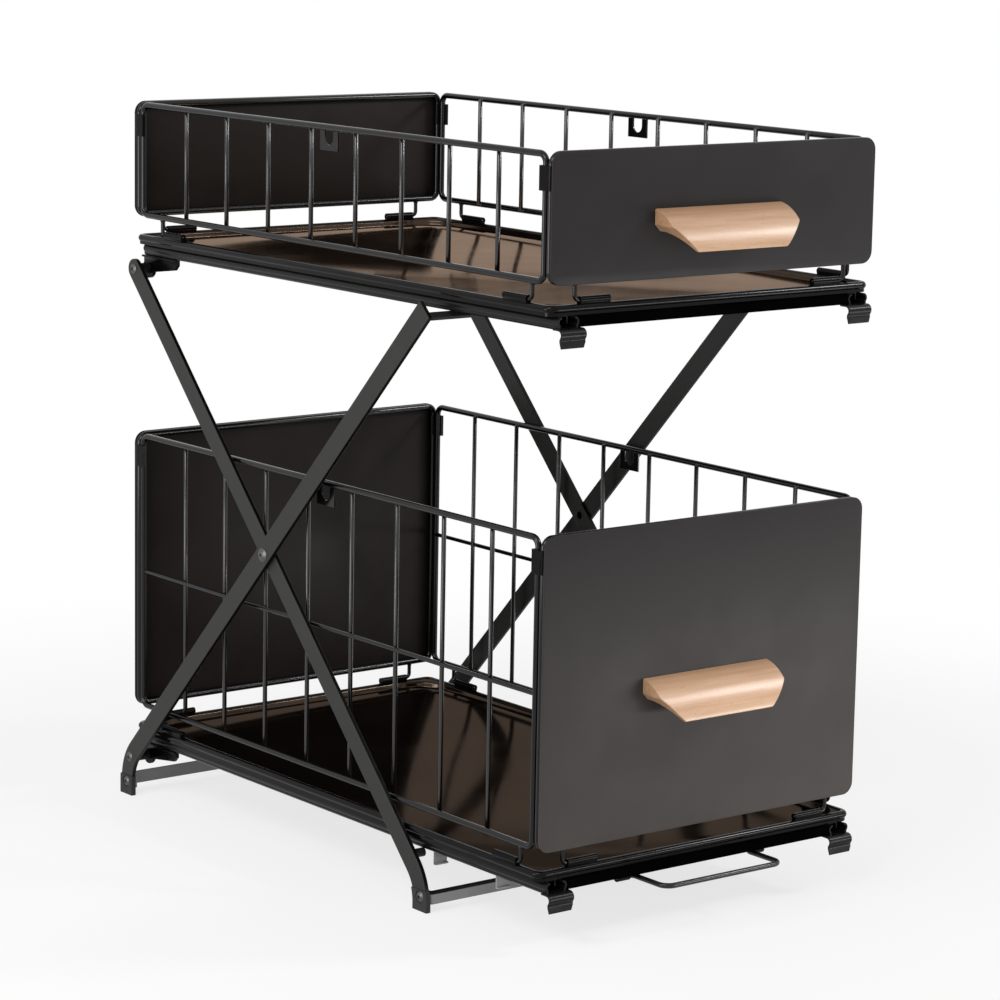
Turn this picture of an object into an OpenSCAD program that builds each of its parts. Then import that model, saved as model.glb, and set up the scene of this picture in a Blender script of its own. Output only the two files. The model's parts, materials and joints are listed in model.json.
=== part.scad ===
// Two-tier folding rack with two pull-out baskets on ball slides.
// X runs across, -Y faces the user, Z is up. The floor is z = 0 and the middle of the plan is x = y = 0.

/* [Baskets] */
// Width across the front and back panels
basket_w = 225; // [200:5:280]
// Depth from the front sheet to the back sheet
basket_d = 400; // [380:10:460]
// Height of the upper basket's panels
upper_h = 69; // [60:1:100]
// Height of the lower basket's panels
lower_h = 170; // [130:5:180]
// Upright wires in each side grille
grille_bars = 8; // [5:1:10]
// Corner radius of the panels
panel_corner = 7; // [6:0.5:9]

/* [Heights and legs] */
// Height of the lower tray's rim above the floor
lower_rim_z = 44.5; // [44:0.5:58]
// Height between the two tray rims
tier_gap = 300; // [290:5:340]
// Distance along Y from the rear hinges to the middle of the leg crossing
leg_run = 144; // [138:1:150]
// Width of the flat leg bars
bar_w = 12; // [10:1:14]
// Thickness of the flat leg bars
bar_t = 2.5; // [2:0.25:2.5]

/* [Wire and sheet] */
// Diameter of the side grilles' rim wire
rim_wire_d = 3.6; // [3:0.2:3.8]
// Diameter of the side grilles' upright wires
bar_wire_d = 2.6; // [2:0.2:2.8]
// Diameter of the front and back panels' frame wire
frame_wire_d = 4; // [3.5:0.25:4.5]
// Diameter of the wire feet that turn in the knuckles
foot_wire_d = 2.4; // [2:0.2:2.6]
// Thickness of the panel sheets and tray floors
sheet_t = 1; // [0.8:0.1:1.2]

/* [Trays and slides] */
// Diameter of the rolled bead round each tray
bead_d = 4.4; // [4:0.2:4.8]
// Depth of the tray floor below the top of the bead
floor_drop = 4.3; // [4.1:0.1:4.5]
// Wall thickness of the slide channels
rail_t = 1; // [0.8:0.1:1.1]

/* [Handles] */
// Length of the wooden handles
handle_len = 88; // [70:2:120]
// How far the handles stand out from the sheet
handle_reach = 21; // [18:1:26]
// Height of the handles
handle_h = 21.5; // [20:0.5:26]

/* [Hidden] */

$fn = 48;
eps = 0.01;

// Colours
black = "#1d1d1e";
steel_grey = "#3f3f3e";
sheet_grey = "#42403f";
zinc = "#8a8a8a";
beech = "#d3ae8a";
rubber_black = "#161616";

// Clearances
turn_gap = 0.08;
slip_gap = 0.3;
grille_gap = 0.8;
clip_gap = 0.2;

// Heights measured down from the top of a tray's bead
upper_rim_z = lower_rim_z + tier_gap;
floor_under = floor_drop + sheet_t;
rail_w = 14;
rail_h = 6.9;
rail_corner = 1.5;
rail_neck = rail_w / 2 - 0.7;
rail_top = floor_under + 0.6;
rail_bottom = rail_top + rail_h;
rail_x = basket_w / 2 - rail_w / 2 - 4.1;
rail_front = -basket_d / 2 - 1.7;
rail_rear = basket_d / 2 - 3.5;

// Slide runner, balls and ball cage
runner_w = 6.6;
runner_h = 4.6;
runner_t = 1;
runner_front = -basket_d / 2 + 3;
runner_rear = rail_rear - 2;
ball_d = 2.1;
ball_x = (runner_w / 2 + rail_w / 2 - rail_t) / 2;
ball_z = 3.3;
ball_count = 9;
ball_pitch = 11;
cage_t = 0.7;
cage_len = 105;
cage_front = -58;
cage_top = 2.4;
race_r = 1.7;
race_x = rail_w / 2 - rail_t - race_r;
race_y = rail_top - floor_under - ball_z;

// Cross members of each rack
member_t = 1.2;
member_top = rail_top;
member_bottom = rail_bottom - rail_t - 0.1;
member_flange = 14;

// Curled hooks at the front of the rails
hook_w = 16.5;
hook_t = rail_t;
hook_reach = 0.5;
hook_curl = 2.7;
hook_heel = 2;
hook_back = 40;
hook_flare = 20;
hook_cut_w = 2;
hook_cut_h = 3;
hook_drop = 9;
hook_toe = 1.4;
hook_inset = 1;
catch_w = 8.5;
catch_drop = 8;
catch_inset = 0.65;
catch_y = [-98, -154];

// Rear hinges
pivot_drop = 20.5;
hinge_y = basket_d / 2 - 5.5;
bracket_t = 2;
bracket_r = 6;
bracket_len = 32;
bracket_depth = 6.5;
bracket_flange_t = 1.2;
bracket_out = rail_x + rail_neck - rail_corner - 0.1;

// Legs
inner_x = basket_w / 2 + 1.5;
leg_gap = 0.5;
outer_x = inner_x + bar_t + leg_gap;
leg_rise = tier_gap / 2;
leg_angle = atan2(leg_rise, leg_run);
foot_bend = 30;
foot_tangent = foot_bend * tan((90 - leg_angle) / 2);
rear_foot_out = 3.5;
front_foot_out = 8;
hinge_z = lower_rim_z - pivot_drop;
cross_y = hinge_y - leg_run;
cross_z = hinge_z + leg_rise;
rear_foot_y = hinge_y + rear_foot_out;
rear_corner_z = hinge_z - rear_foot_out * tan(leg_angle);
front_foot_y = hinge_y - 2 * leg_run - front_foot_out;
front_corner_z = hinge_z - front_foot_out * tan(leg_angle);
top_bar_w = 4;
outer_top_z = upper_rim_z - rail_bottom - 0.6 - (top_bar_w - bar_w / 2) * cos(leg_angle);
outer_len = (outer_top_z - rear_corner_z) / sin(leg_angle);
inner_len = (hinge_z + tier_gap - front_corner_z) / sin(leg_angle);

// Foot crossbars and caps
crossbar_h = 7.5;
crossbar_t = 2;
crossbar_z = 8;
crossbar_tab = 11;
cap_wall = 0.5;
cap_sole = 1.5;
cap_h = 12;
cap_window_r = 3.5;

// Rivets
rivet_r = 2;
rivet_head_r = 3.2;
rivet_head_h = 1.3;
rivet_dimple_r = 0.8;
shoulder_r = 3.2;
tail_r = 3.2;
tail_h = 1;
centre_rivet_r = 2.5;
centre_head_r = 4.2;
centre_head_h = 1.5;
collar_r = 4.5;
stud_r = 2.5;
stud_y = hinge_y - 2 * leg_run + 4.5;
stud_z = lower_rim_z - rail_bottom - stud_r - slip_gap;
stud_in = rail_x - catch_inset + catch_w / 2 + slip_gap;

// Swing-down stand
stand_d = 3;
stand_w = 86;
stand_y = -basket_d / 2 + 8;
stand_roll_t = 0.8;
stand_seat = 0.1;
stand_roll_r = stand_d / 2 + turn_gap + stand_roll_t;
stand_drop = member_bottom + stand_roll_r + stand_seat;
stand_z = lower_rim_z - stand_drop;
stand_len = stand_z - stand_d / 2 - 0.2;
stand_corner = 6;
stand_bend = 3;
stand_tail = 11;
stand_knuckle = 8.5;

// Tray
tray_corner = 4;
skirt_inset = 0.9;
recess_corner = 25;
web_drop = 1;

// Panels, feet and knuckles
panel_lift = 10;
pin_z = 1.8;
roll_t = 0.7;
roll_len = 20;
foot_corner = 2.5;
foot_len = 22.5;
frame_y = basket_d / 2 - sheet_t - frame_wire_d / 2;
frame_foot_x = basket_w / 2 - 18.5;
grille_x = basket_w / 2 - rim_wire_d / 2;
grille_len = basket_d - 2 * (sheet_t + frame_wire_d + grille_gap);
grille_corner = 5;
grille_foot_front = grille_len / 2 - 11.5;
grille_foot_rear = grille_len / 2 - 23;
weld = 0.4;
bar_inset = (rim_wire_d + bar_wire_d) / 2 - weld;

// Hanging plate on each side grille
hang_w = 17;
hang_h = 11;
hang_t = 1;
hang_notch_w = 8;
hang_notch_h = 8;

// Corner clips
clip_t = 0.6;
clip_h = 13;
clip_from_top = max(panel_corner, grille_corner + rim_wire_d / 2) + 0.5;
clip_lip = 1.5;
clip_wrap = 0.5;

// Handle
handle_top = 32;
handle_raise = 1.5;
handle_back = 12;
handle_lip = 2.2;
handle_lip_face = 1.5;
handle_foot = 3;
handle_crown = 4.7;
handle_hollow = 2.4;
handle_chamfer = 13;
handle_screw_x = 32;
handle_screw_drop = 6;
screw_r = 2;
screw_len = 10;
screw_head_r = 3.6;
screw_head_h = 2;
screw_socket_r = 1.2;
screw_socket_h = 1;

// Middle of the plan
front_reach = -stand_y + stand_len + stand_d / 2;
rear_reach = rear_foot_y + bar_w / 2 + cap_wall;
plan_shift = (front_reach - rear_reach) / 2;

// ---------- helpers ----------

// Points along a circular arc
function arc(cx, cy, r, a0, a1, n) =
    [for (i = [0 : n]) let (a = a0 + (a1 - a0) * i / n) [cx + r * cos(a), cy + r * sin(a)]];

// Points from p to q along an arc that bulges to the left of the way by the given height, or right if it is negative
function bulge(p, q, height, n) =
    let (
        chord = norm(q - p),
        r = (chord * chord / 4 + height * height) / (2 * height),
        dir = (q - p) / chord,
        left = [-dir[1], dir[0]],
        c = (p + q) / 2 - left * (r - height),
        a0 = atan2(p[1] - c[1], p[0] - c[0]),
        half = asin(chord / 2 / r)
    )
    arc(c[0], c[1], abs(r), a0, a0 - 2 * half, n);

module placed() { translate([0, plan_shift, 0]) children(); }

// Local x, y, z become Y, Z, X
module to_side() { rotate([90, 0, 90]) children(); }

// Local x, y become X, Z and local z becomes -Y
module upright() { rotate([90, 0, 0]) children(); }

module both_sides() {
    children();
    mirror([1, 0, 0]) children();
}

module side(s) {
    if (s > 0) children();
    else mirror([1, 0, 0]) children();
}

// Flat plate with round corners, in the XY plane
module round_plate(w, h, r, t) {
    linear_extrude(t)
        polygon(concat(
            arc(w / 2 - r, h / 2 - r, r, 0, 90, 8),
            arc(-w / 2 + r, h / 2 - r, r, 90, 180, 8),
            arc(-w / 2 + r, -h / 2 + r, r, 180, 270, 8),
            arc(w / 2 - r, -h / 2 + r, r, 270, 360, 8)
        ));
}

// Quarter turn of round wire about the origin
module wire_turn(r, d) {
    rotate_extrude(angle = 90) translate([r, 0]) circle(d = d);
}

// Upright wall in the shape of a rounded rectangle, w by h outside
module round_wall(w, h, r, wall, t) {
    difference() {
        round_plate(w, h, r, t);
        translate([0, 0, -1]) round_plate(w - 2 * wall, h - 2 * wall, r - wall, t + 2);
    }
}

// Rounded rectangle of round wire in the XY plane, w by h outside
module wire_loop(w, h, r, d) {
    x = w / 2 - d / 2;
    y = h / 2 - d / 2;
    for (s = [-1, 1]) {
        translate([s * x, -y + r, 0]) rotate([-90, 0, 0]) cylinder(d = d, h = 2 * (y - r));
        translate([-x + r, s * y, 0]) rotate([0, 90, 0]) cylinder(d = d, h = 2 * (x - r));
    }
    translate([x - r, y - r, 0]) wire_turn(r, d);
    translate([-x + r, y - r, 0]) rotate(90) wire_turn(r, d);
    translate([-x + r, -y + r, 0]) rotate(180) wire_turn(r, d);
    translate([x - r, -y + r, 0]) rotate(270) wire_turn(r, d);
}

// L-shaped wire foot: down from the origin, then along +x
module wire_foot(drop) {
    translate([0, -drop + foot_corner, 0]) rotate([-90, 0, 0]) cylinder(d = foot_wire_d, h = drop - foot_corner);
    translate([foot_corner, -drop + foot_corner, 0]) rotate(180) wire_turn(foot_corner, foot_wire_d);
    translate([foot_corner, -drop, 0]) rotate([0, 90, 0]) cylinder(d = foot_wire_d, h = foot_len - foot_corner);
}

// Rolled knuckle that a wire foot turns in, its pin along +x from the origin, seated on the tray's bead
module knuckle(bead_off) {
    roll_r = foot_wire_d / 2 + turn_gap + roll_t;
    difference() {
        union() {
            rotate([0, 90, 0]) cylinder(r = roll_r, h = roll_len);
            translate([0, -roll_r * 0.8, -pin_z - 0.8]) cube([roll_len, roll_r * 1.6, pin_z]);
        }
        translate([-1, 0, 0]) rotate([0, 90, 0]) cylinder(r = foot_wire_d / 2 + turn_gap, h = roll_len + 2);
        translate([-1, bead_off, -pin_z - bead_d / 2]) rotate([0, 90, 0]) cylinder(d = bead_d, h = roll_len + 2);
    }
}

// Domed rivet: the head stands out along +z from z = 0, the shank goes to -len
module rivet(len, r, head_r, head_h) {
    dome_r = (head_r * head_r + head_h * head_h) / (2 * head_h);
    difference() {
        union() {
            intersection() {
                translate([0, 0, head_h - dome_r]) sphere(r = dome_r);
                cylinder(r = head_r, h = head_h + 1);
            }
            translate([0, 0, -len]) cylinder(r = r, h = len + eps);
        }
        translate([0, 0, head_h - 0.5]) cylinder(r = rivet_dimple_r, h = 1);
    }
}

// ---------- racks ----------

// Right half of a slide channel's section, from the outer face round the ball race to the inner face; its top is y = 0
function rail_half() =
    let (out = race_r + rail_t, c = rail_neck - rail_corner, bottom = -rail_h + rail_corner)
    concat(
        arc(c, bottom, rail_corner, 270, 360, 4),
        arc(race_x, race_y, out, -acos((rail_neck - race_x) / out), 90, 12),
        arc(race_x, race_y, race_r, 90, -acos((rail_neck - rail_t - race_x) / race_r), 12),
        arc(c, bottom, rail_corner - rail_t, 360, 270, 2)
    );

module rail_section() {
    half = rail_half();
    polygon(concat(half, [for (i = [len(half) - 1 : -1 : 0]) [-half[i][0], half[i][1]]]));
}

// Curled hook, seen from the side: x goes forward from the rail's end, y up from its underside
module hook_section() {
    h = hook_t / 2;
    top = [hook_reach, h - hook_curl];
    knee = top + hook_curl * [cos(hook_back), -sin(hook_back)];
    heel = knee + hook_heel * [cos(hook_back), -sin(hook_back)];
    turn = 180 + hook_flare;
    foot = heel + hook_heel * [cos(turn), sin(turn)];
    down = [sin(hook_flare), -cos(hook_flare)];
    toe = foot + down * (foot[1] + hook_drop) / cos(hook_flare);
    across = h * [cos(hook_flare), sin(hook_flare)];
    polygon(concat(
        [[-4, hook_t]],
        arc(top[0], top[1], hook_curl + h, 90, -hook_back, 10),
        arc(heel[0], heel[1], hook_heel - h, 180 - hook_back, turn, 6),
        [toe + across, toe - across],
        arc(heel[0], heel[1], hook_heel + h, turn, 180 - hook_back, 6),
        arc(top[0], top[1], hook_curl - h, -hook_back, 90, 10),
        [[-4, 0]]
    ));
}

// Front view of a hook, one lower corner cut; both hooks are the same stamping, so the cut is always on the +X side
module hook_outline(cut_side) {
    w = hook_w / 2;
    mirror([cut_side > 0 ? 0 : 1, 0, 0])
        polygon([
            [-w, hook_t + 1], [-w, -hook_drop - 1], [w - hook_cut_w, -hook_drop - 1],
            [w - hook_cut_w, -hook_drop], [w, hook_cut_h - hook_drop], [w, hook_t + 1],
        ]);
}

// Catch under the lower rails: a plate that hangs down, with a short toe
module catch_section() {
    translate([0, -catch_drop]) square([hook_t, catch_drop + eps]);
    translate([hook_t - eps, -catch_drop]) square([hook_toe, hook_t]);
}

// Right-hand rail; z = 0 is the top of the tray's bead
module rail(catches, cut_side) {
    translate([rail_x, rail_rear, -rail_top]) upright() linear_extrude(rail_rear - rail_front) rail_section();
    translate([rail_x - hook_inset, rail_front, -rail_bottom])
        intersection() {
            translate([-hook_w / 2, 0, 0]) rotate([90, 0, -90]) mirror([0, 0, 1]) linear_extrude(hook_w) hook_section();
            translate([0, 5, 0]) upright() linear_extrude(20) hook_outline(cut_side);
        }
    for (y = catches)
        translate([rail_x - catch_inset - catch_w / 2, y, -rail_bottom])
            rotate([90, 0, -90]) mirror([0, 0, 1]) linear_extrude(catch_w) catch_section();
}

// Angle strip between the rails, its web at y = 0 and its flange toward +y
module member() {
    web = rail_x - rail_w / 2;
    flange = rail_x - rail_neck;
    translate([-web, 0, -member_bottom]) cube([2 * web, member_t, member_bottom - member_top]);
    translate([-flange, 0, -member_bottom]) cube([2 * flange, member_flange, member_t]);
}

// Plate under the rear of a rail with the hinge hole, outer face at x = bracket_out, and its flange under the rail
module hinge_bracket(hole_r) {
    flange_in = bracket_out - bracket_t;
    translate([flange_in, hinge_y - bracket_len, -rail_bottom - bracket_flange_t])
        cube([rail_x + rail_neck - flange_in, bracket_len + bracket_r - 1, bracket_flange_t]);
    translate([bracket_out - bracket_t, 0, 0]) to_side()
        difference() {
            union() {
                translate([hinge_y, -pivot_drop, 0]) cylinder(r = bracket_r, h = bracket_t);
                linear_extrude(bracket_t)
                    polygon([
                        [hinge_y + bracket_r - 1, -rail_bottom], [hinge_y - bracket_len, -rail_bottom],
                        [hinge_y - bracket_len, -rail_bottom - bracket_depth + 3],
                        [hinge_y - bracket_len + 3, -rail_bottom - bracket_depth],
                        [hinge_y - bracket_r, -pivot_drop - 2], [hinge_y + bracket_r - 1, -pivot_drop],
                    ]);
            }
            translate([hinge_y, -pivot_drop, -1]) cylinder(r = hole_r, h = bracket_t + 2);
        }
}

// ---------- legs ----------

// Outline of a flat bar with a bent foot: the foot stands on x = 0 and the bar leans to -x; grow widens it all round
function leg_outline(corner_v, len, round_end, grow) =
    let (
        w = bar_w / 2 + grow,
        turn = 90 - leg_angle,
        bend_v = corner_v - foot_tangent,
        tip = [len * cos(180 - leg_angle), corner_v + len * sin(180 - leg_angle)],
        across = w * [cos(turn), sin(turn)],
        base = grow > 0 ? 0 : cap_sole
    )
    concat(
        [[-w, base], [w, base]],
        arc(-foot_bend, bend_v, foot_bend + w, 0, turn, 12),
        round_end ? arc(tip[0], tip[1], w, turn, turn + 180, 18) : [tip + across, tip - across],
        arc(-foot_bend, bend_v, foot_bend - w, turn, 0, 12)
    );

module leg_bar(corner_v, len, round_end) {
    linear_extrude(bar_t) polygon(leg_outline(corner_v, len, round_end, 0));
}

module outer_leg() {
    translate([outer_x, 0, 0]) to_side()
        difference() {
            translate([rear_foot_y, 0, 0]) leg_bar(rear_corner_z, outer_len, false);
            translate([hinge_y, hinge_z, -1]) cylinder(r = rivet_r, h = bar_t + 2);
            translate([rear_foot_y, crossbar_z, -1]) cylinder(r = rivet_r, h = bar_t + 2);
            translate([cross_y, cross_z, -1]) cylinder(r = centre_rivet_r + turn_gap, h = bar_t + 2);
        }
}

module inner_leg() {
    top_z = hinge_z + tier_gap;
    translate([inner_x, 0, 0]) to_side()
        difference() {
            translate([front_foot_y, 0, 0]) mirror([1, 0, 0]) leg_bar(front_corner_z, inner_len, true);
            translate([hinge_y, top_z, -1]) cylinder(r = rivet_r + turn_gap, h = bar_t + 2);
            translate([front_foot_y, crossbar_z, -1]) cylinder(r = rivet_r, h = bar_t + 2);
            translate([cross_y, cross_z, -1]) cylinder(r = centre_rivet_r, h = bar_t + 2);
        }
}

// Flat bar between two feet, its ends bent along Y into tabs; dir = 1 puts the bar behind the tabs
module foot_crossbar(foot_y, x_out, dir) {
    face = foot_y + dir * bar_w / 2;
    z0 = crossbar_z - crossbar_h / 2;
    difference() {
        union() {
            translate([-x_out, dir > 0 ? face - crossbar_t : face, z0]) cube([2 * x_out, crossbar_t, crossbar_h]);
            both_sides()
                translate([x_out - crossbar_t, dir > 0 ? face - crossbar_tab : face, z0])
                    cube([crossbar_t, crossbar_tab, crossbar_h]);
        }
        translate([-x_out - 1, foot_y, crossbar_z]) rotate([0, 90, 0]) cylinder(r = rivet_r, h = 2 * x_out + 2);
    }
}

// Rubber shoe moulded round a foot, in the leg's own plane; open on the inner side where the crossbar's tab lies
module foot_cap(corner_v, len) {
    reach = bar_w + foot_bend;
    difference() {
        linear_extrude(bar_t + cap_wall)
            intersection() {
                polygon(leg_outline(corner_v, len, false, cap_wall));
                translate([-reach, 0]) square([2 * reach, cap_h]);
            }
        translate([0, 0, -1]) linear_extrude(bar_t + 1) polygon(leg_outline(corner_v, len, false, 0));
        translate([0, crossbar_z, 0]) cylinder(r = cap_window_r, h = bar_t + 2);
    }
}

module foot_rivet(foot_y, x) {
    translate([x + bar_t, foot_y, crossbar_z]) rotate([0, 90, 0])
        rivet(bar_t + crossbar_t, rivet_r, rivet_head_r, rivet_head_h);
}

// Shoulder and tail of a hinge rivet between the bracket and a leg at x = leg_x
module hinge_shoulder(leg_x) {
    from = bracket_out + 0.1;
    translate([from, 0, 0]) rotate([0, 90, 0]) cylinder(r = shoulder_r, h = leg_x - 0.1 - from);
}

module hinge_tail() {
    translate([bracket_out - bracket_t - 0.1 - tail_h, 0, 0]) rotate([0, 90, 0]) cylinder(r = tail_r, h = tail_h);
}

// ---------- drawers ----------

// Pressed tray with a rolled bead, a folded skirt under it and a web across each corner; z = 0 is the top of the bead
module tray() {
    translate([0, 0, -bead_d / 2]) wire_loop(basket_w, basket_d, tray_corner, bead_d);
    floor_in = skirt_inset + sheet_t / 2;
    translate([0, 0, -floor_under]) {
        round_plate(basket_w - 2 * floor_in, basket_d - 2 * floor_in, recess_corner + bead_d - floor_in, sheet_t);
        round_wall(
            basket_w - 2 * skirt_inset, basket_d - 2 * skirt_inset,
            tray_corner + bead_d / 2 - skirt_inset, sheet_t, floor_under - bead_d / 2
        );
    }
    both_sides() {
        tray_corner_web();
        mirror([0, 1, 0]) tray_corner_web();
    }
}

// Web at the bead's height outside the recess's round corner, and the wall below it
module tray_corner_web() {
    x = basket_w / 2 - bead_d / 2;
    y = basket_d / 2 - bead_d / 2;
    cx = x - bead_d / 2 - recess_corner;
    cy = y - bead_d / 2 - recess_corner;
    translate([0, 0, -web_drop - sheet_t]) linear_extrude(sheet_t)
        polygon(concat(
            arc(x - tray_corner, y - tray_corner, tray_corner, 0, 90, 10),
            [[cx, y]],
            arc(cx, cy, recess_corner, 90, 0, 18),
            [[x, cy]]
        ));
    translate([0, 0, -floor_under]) linear_extrude(floor_under - web_drop)
        polygon(concat(
            arc(cx, cy, recess_corner + sheet_t, 0, 90, 18),
            arc(cx, cy, recess_corner, 90, 0, 18)
        ));
}

module runner() {
    w = runner_w / 2;
    translate([rail_x, runner_rear, -floor_under]) upright()
        linear_extrude(runner_rear - runner_front)
            polygon([
                [-w, 0], [-w, -runner_h], [-w + runner_t, -runner_h], [-w + runner_t, -runner_t],
                [w - runner_t, -runner_t], [w - runner_t, -runner_h], [w, -runner_h], [w, 0],
            ]);
}

module ball_cage() {
    half = ball_x + cage_t / 2;
    bottom = floor_under + runner_h + 0.6 + cage_t;
    translate([rail_x, cage_front, -bottom])
        difference() {
            union() {
                translate([-half, 0, 0]) cube([2 * half, cage_len, cage_t]);
                for (s = [-1, 1])
                    translate([s * ball_x - cage_t / 2, 0, 0])
                        cube([cage_t, cage_len, bottom - floor_under - cage_top]);
            }
            for (i = [0 : ball_count - 1])
                translate([-half - 1, ball_y(i) - cage_front, bottom - floor_under - ball_z])
                    rotate([0, 90, 0]) cylinder(r = ball_d / 2 + 0.05, h = 2 * half + 2);
        }
}

function ball_y(i) = cage_front + cage_len / 2 + (i - (ball_count - 1) / 2) * ball_pitch;

module slide_balls() {
    for (i = [0 : ball_count - 1], s = [-1, 1])
        translate([rail_x + s * ball_x, ball_y(i), -floor_under - ball_z]) sphere(d = ball_d);
}

// The eight knuckles of one tray
module panel_knuckles() {
    bead_mid = basket_d / 2 - bead_d / 2;
    for (s = [-1, 1])
        translate([0, s * frame_y, pin_z])
            both_sides() translate([frame_foot_x - foot_corner - 0.3, 0, 0]) mirror([1, 0, 0])
                knuckle(s * bead_mid - s * frame_y);
    both_sides() {
        off = basket_w / 2 - bead_d / 2 - grille_x;
        translate([grille_x, -grille_foot_front + foot_corner + 0.3, pin_z]) rotate(90) knuckle(-off);
        translate([grille_x, grille_foot_rear - foot_corner - 0.3, pin_z]) rotate(-90) knuckle(off);
    }
}

// Wire frame of a front or back panel, standing in the plane y = 0
module panel_frame(h) {
    upright() {
        translate([0, panel_lift + h / 2, 0])
            wire_loop(basket_w, h, panel_corner - frame_wire_d / 2, frame_wire_d);
        for (s = [-1, 1])
            translate([s * frame_foot_x, panel_lift + frame_wire_d / 2, 0]) mirror([s > 0 ? 1 : 0, 0, 0])
                wire_foot(panel_lift + frame_wire_d / 2 - pin_z);
    }
}

module panel_sheet(h) {
    translate([0, 0, panel_lift + h / 2]) upright() round_plate(basket_w, h, panel_corner, sheet_t);
}

// Clip on a panel frame's upright wire at the right, gripping the side grille's end wire
module corner_clip(h) {
    wire_x = basket_w / 2 - frame_wire_d / 2;
    wrap_r = frame_wire_d / 2 + clip_wrap;
    gap_y = frame_wire_d / 2 + grille_gap;
    end_y = gap_y + rim_wire_d + clip_gap;
    plate_x = basket_w / 2 + clip_gap;
    translate([0, 0, panel_lift + h - clip_from_top - clip_h])
        linear_extrude(clip_h) {
            difference() {
                translate([wire_x, 0]) circle(r = wrap_r);
                translate([wire_x, 0]) circle(d = frame_wire_d);
                translate([wire_x - 10, -10 - frame_wire_d / 2 + 0.6]) square([20, 10]);
            }
            translate([plate_x, 0]) square([clip_t, end_y + clip_t]);
            translate([plate_x - clip_lip, end_y]) square([clip_lip + eps, clip_t]);
        }
}

module handle_section() {
    polygon(concat(
        bulge([0, 0], [handle_reach, -handle_h + handle_lip_face], handle_crown, 16),
        [[handle_reach, -handle_h]],
        bulge([handle_reach - handle_lip, -handle_h], [handle_foot, -handle_back], -handle_hollow, 10),
        [[0, -handle_back]]
    ));
}

// Wooden handle; its flat back is y = 0 and its top z = 0
module handle() {
    half = handle_len / 2;
    intersection() {
        translate([-half, 0, 0]) rotate([90, 0, -90]) mirror([0, 0, 1]) linear_extrude(handle_len) handle_section();
        translate([0, 1, 0]) upright() linear_extrude(handle_reach + 2)
            polygon([
                [-half, 1], [-half, handle_chamfer - handle_h], [-half + handle_chamfer, -handle_h],
                [half - handle_chamfer, -handle_h], [half, handle_chamfer - handle_h], [half, 1],
            ]);
    }
}

// Pan-head screw along -y, its head's underside at y = 0
module screw() {
    upright()
        difference() {
            union() {
                translate([0, 0, -screw_head_h]) cylinder(r = screw_head_r, h = screw_head_h);
                cylinder(r = screw_r, h = screw_len);
            }
            translate([0, 0, -screw_head_h - 1]) cylinder(r = screw_socket_r, h = 1 + screw_socket_h);
        }
}

module screw_places(h) {
    for (s = [-1, 1])
        translate([s * handle_screw_x, 0, handle_z(h) - handle_screw_drop]) children();
}

// Height of a handle's top: just above the middle of a high panel, or a fixed way below the top of a low one
function handle_z(h) = panel_lift + h - (h > 100 ? h / 2 - handle_raise : handle_top);

module front_sheet(h) {
    difference() {
        translate([0, -basket_d / 2 + sheet_t, 0]) panel_sheet(h);
        screw_places(h) translate([0, 1 - basket_d / 2 + sheet_t, 0]) upright() cylinder(r = screw_r, h = sheet_t + 2);
    }
}

module handle_placed(h) {
    difference() {
        translate([0, -basket_d / 2, handle_z(h)]) handle();
        screw_places(h) translate([0, 1 - basket_d / 2, 0]) upright() cylinder(r = screw_r, h = screw_len - sheet_t + 1);
    }
}

// Right-hand side grille
module grille(h, mid_wire) {
    top = panel_lift + h;
    pitch = (grille_len - rim_wire_d) / (grille_bars + 1);
    translate([grille_x, 0, 0]) to_side() {
        translate([0, panel_lift + h / 2, 0]) wire_loop(grille_len, h, grille_corner, rim_wire_d);
        for (i = [0 : grille_bars - 1])
            translate([(i - (grille_bars - 1) / 2) * pitch, panel_lift + rim_wire_d / 2, -bar_inset])
                rotate([-90, 0, 0]) cylinder(d = bar_wire_d, h = h - rim_wire_d);
        if (mid_wire)
            translate([-grille_len / 2 + rim_wire_d / 2, panel_lift + h / 2, -bar_inset + bar_wire_d - weld])
                rotate([0, 90, 0]) cylinder(d = bar_wire_d, h = grille_len - rim_wire_d);
        translate([-grille_foot_front, panel_lift + rim_wire_d / 2, 0]) wire_foot(panel_lift + rim_wire_d / 2 - pin_z);
        translate([grille_foot_rear, panel_lift + rim_wire_d / 2, 0]) mirror([1, 0, 0])
            wire_foot(panel_lift + rim_wire_d / 2 - pin_z);
    }
}

module hang_plate(h) {
    under_wire = panel_lift + h - rim_wire_d;
    half = hang_w / 2;
    notch = hang_notch_w / 2;
    translate([grille_x - hang_t / 2, 0, 0]) to_side() linear_extrude(hang_t)
        polygon(concat(
            [[-half, under_wire], [-half, under_wire - hang_h], [half, under_wire - hang_h], [half, under_wire]],
            [[notch, under_wire]],
            arc(0, under_wire - hang_notch_h + notch, notch, 0, -180, 16),
            [[-notch, under_wire]]
        ));
}

// ---------- nodes ----------

module at_lower() { placed() translate([0, 0, lower_rim_z]) children(); }
module at_upper() { placed() translate([0, 0, upper_rim_z]) children(); }

module lower_rail_left() { color(black) at_lower() side(-1) rail(catch_y, -1); }
module lower_rail_right() { color(black) at_lower() side(1) rail(catch_y, 1); }
module upper_rail_left() { color(black) at_upper() side(-1) rail([], -1); }
module upper_rail_right() { color(black) at_upper() side(1) rail([], 1); }

module front_member() { translate([0, rail_front, 0]) member(); }
module rear_member() { translate([0, rail_rear, 0]) mirror([0, 1, 0]) member(); }
module lower_front_member() { color(black) at_lower() front_member(); }
module lower_rear_member() { color(black) at_lower() rear_member(); }
module upper_front_member() { color(black) at_upper() front_member(); }
module upper_rear_member() { color(black) at_upper() rear_member(); }

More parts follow.
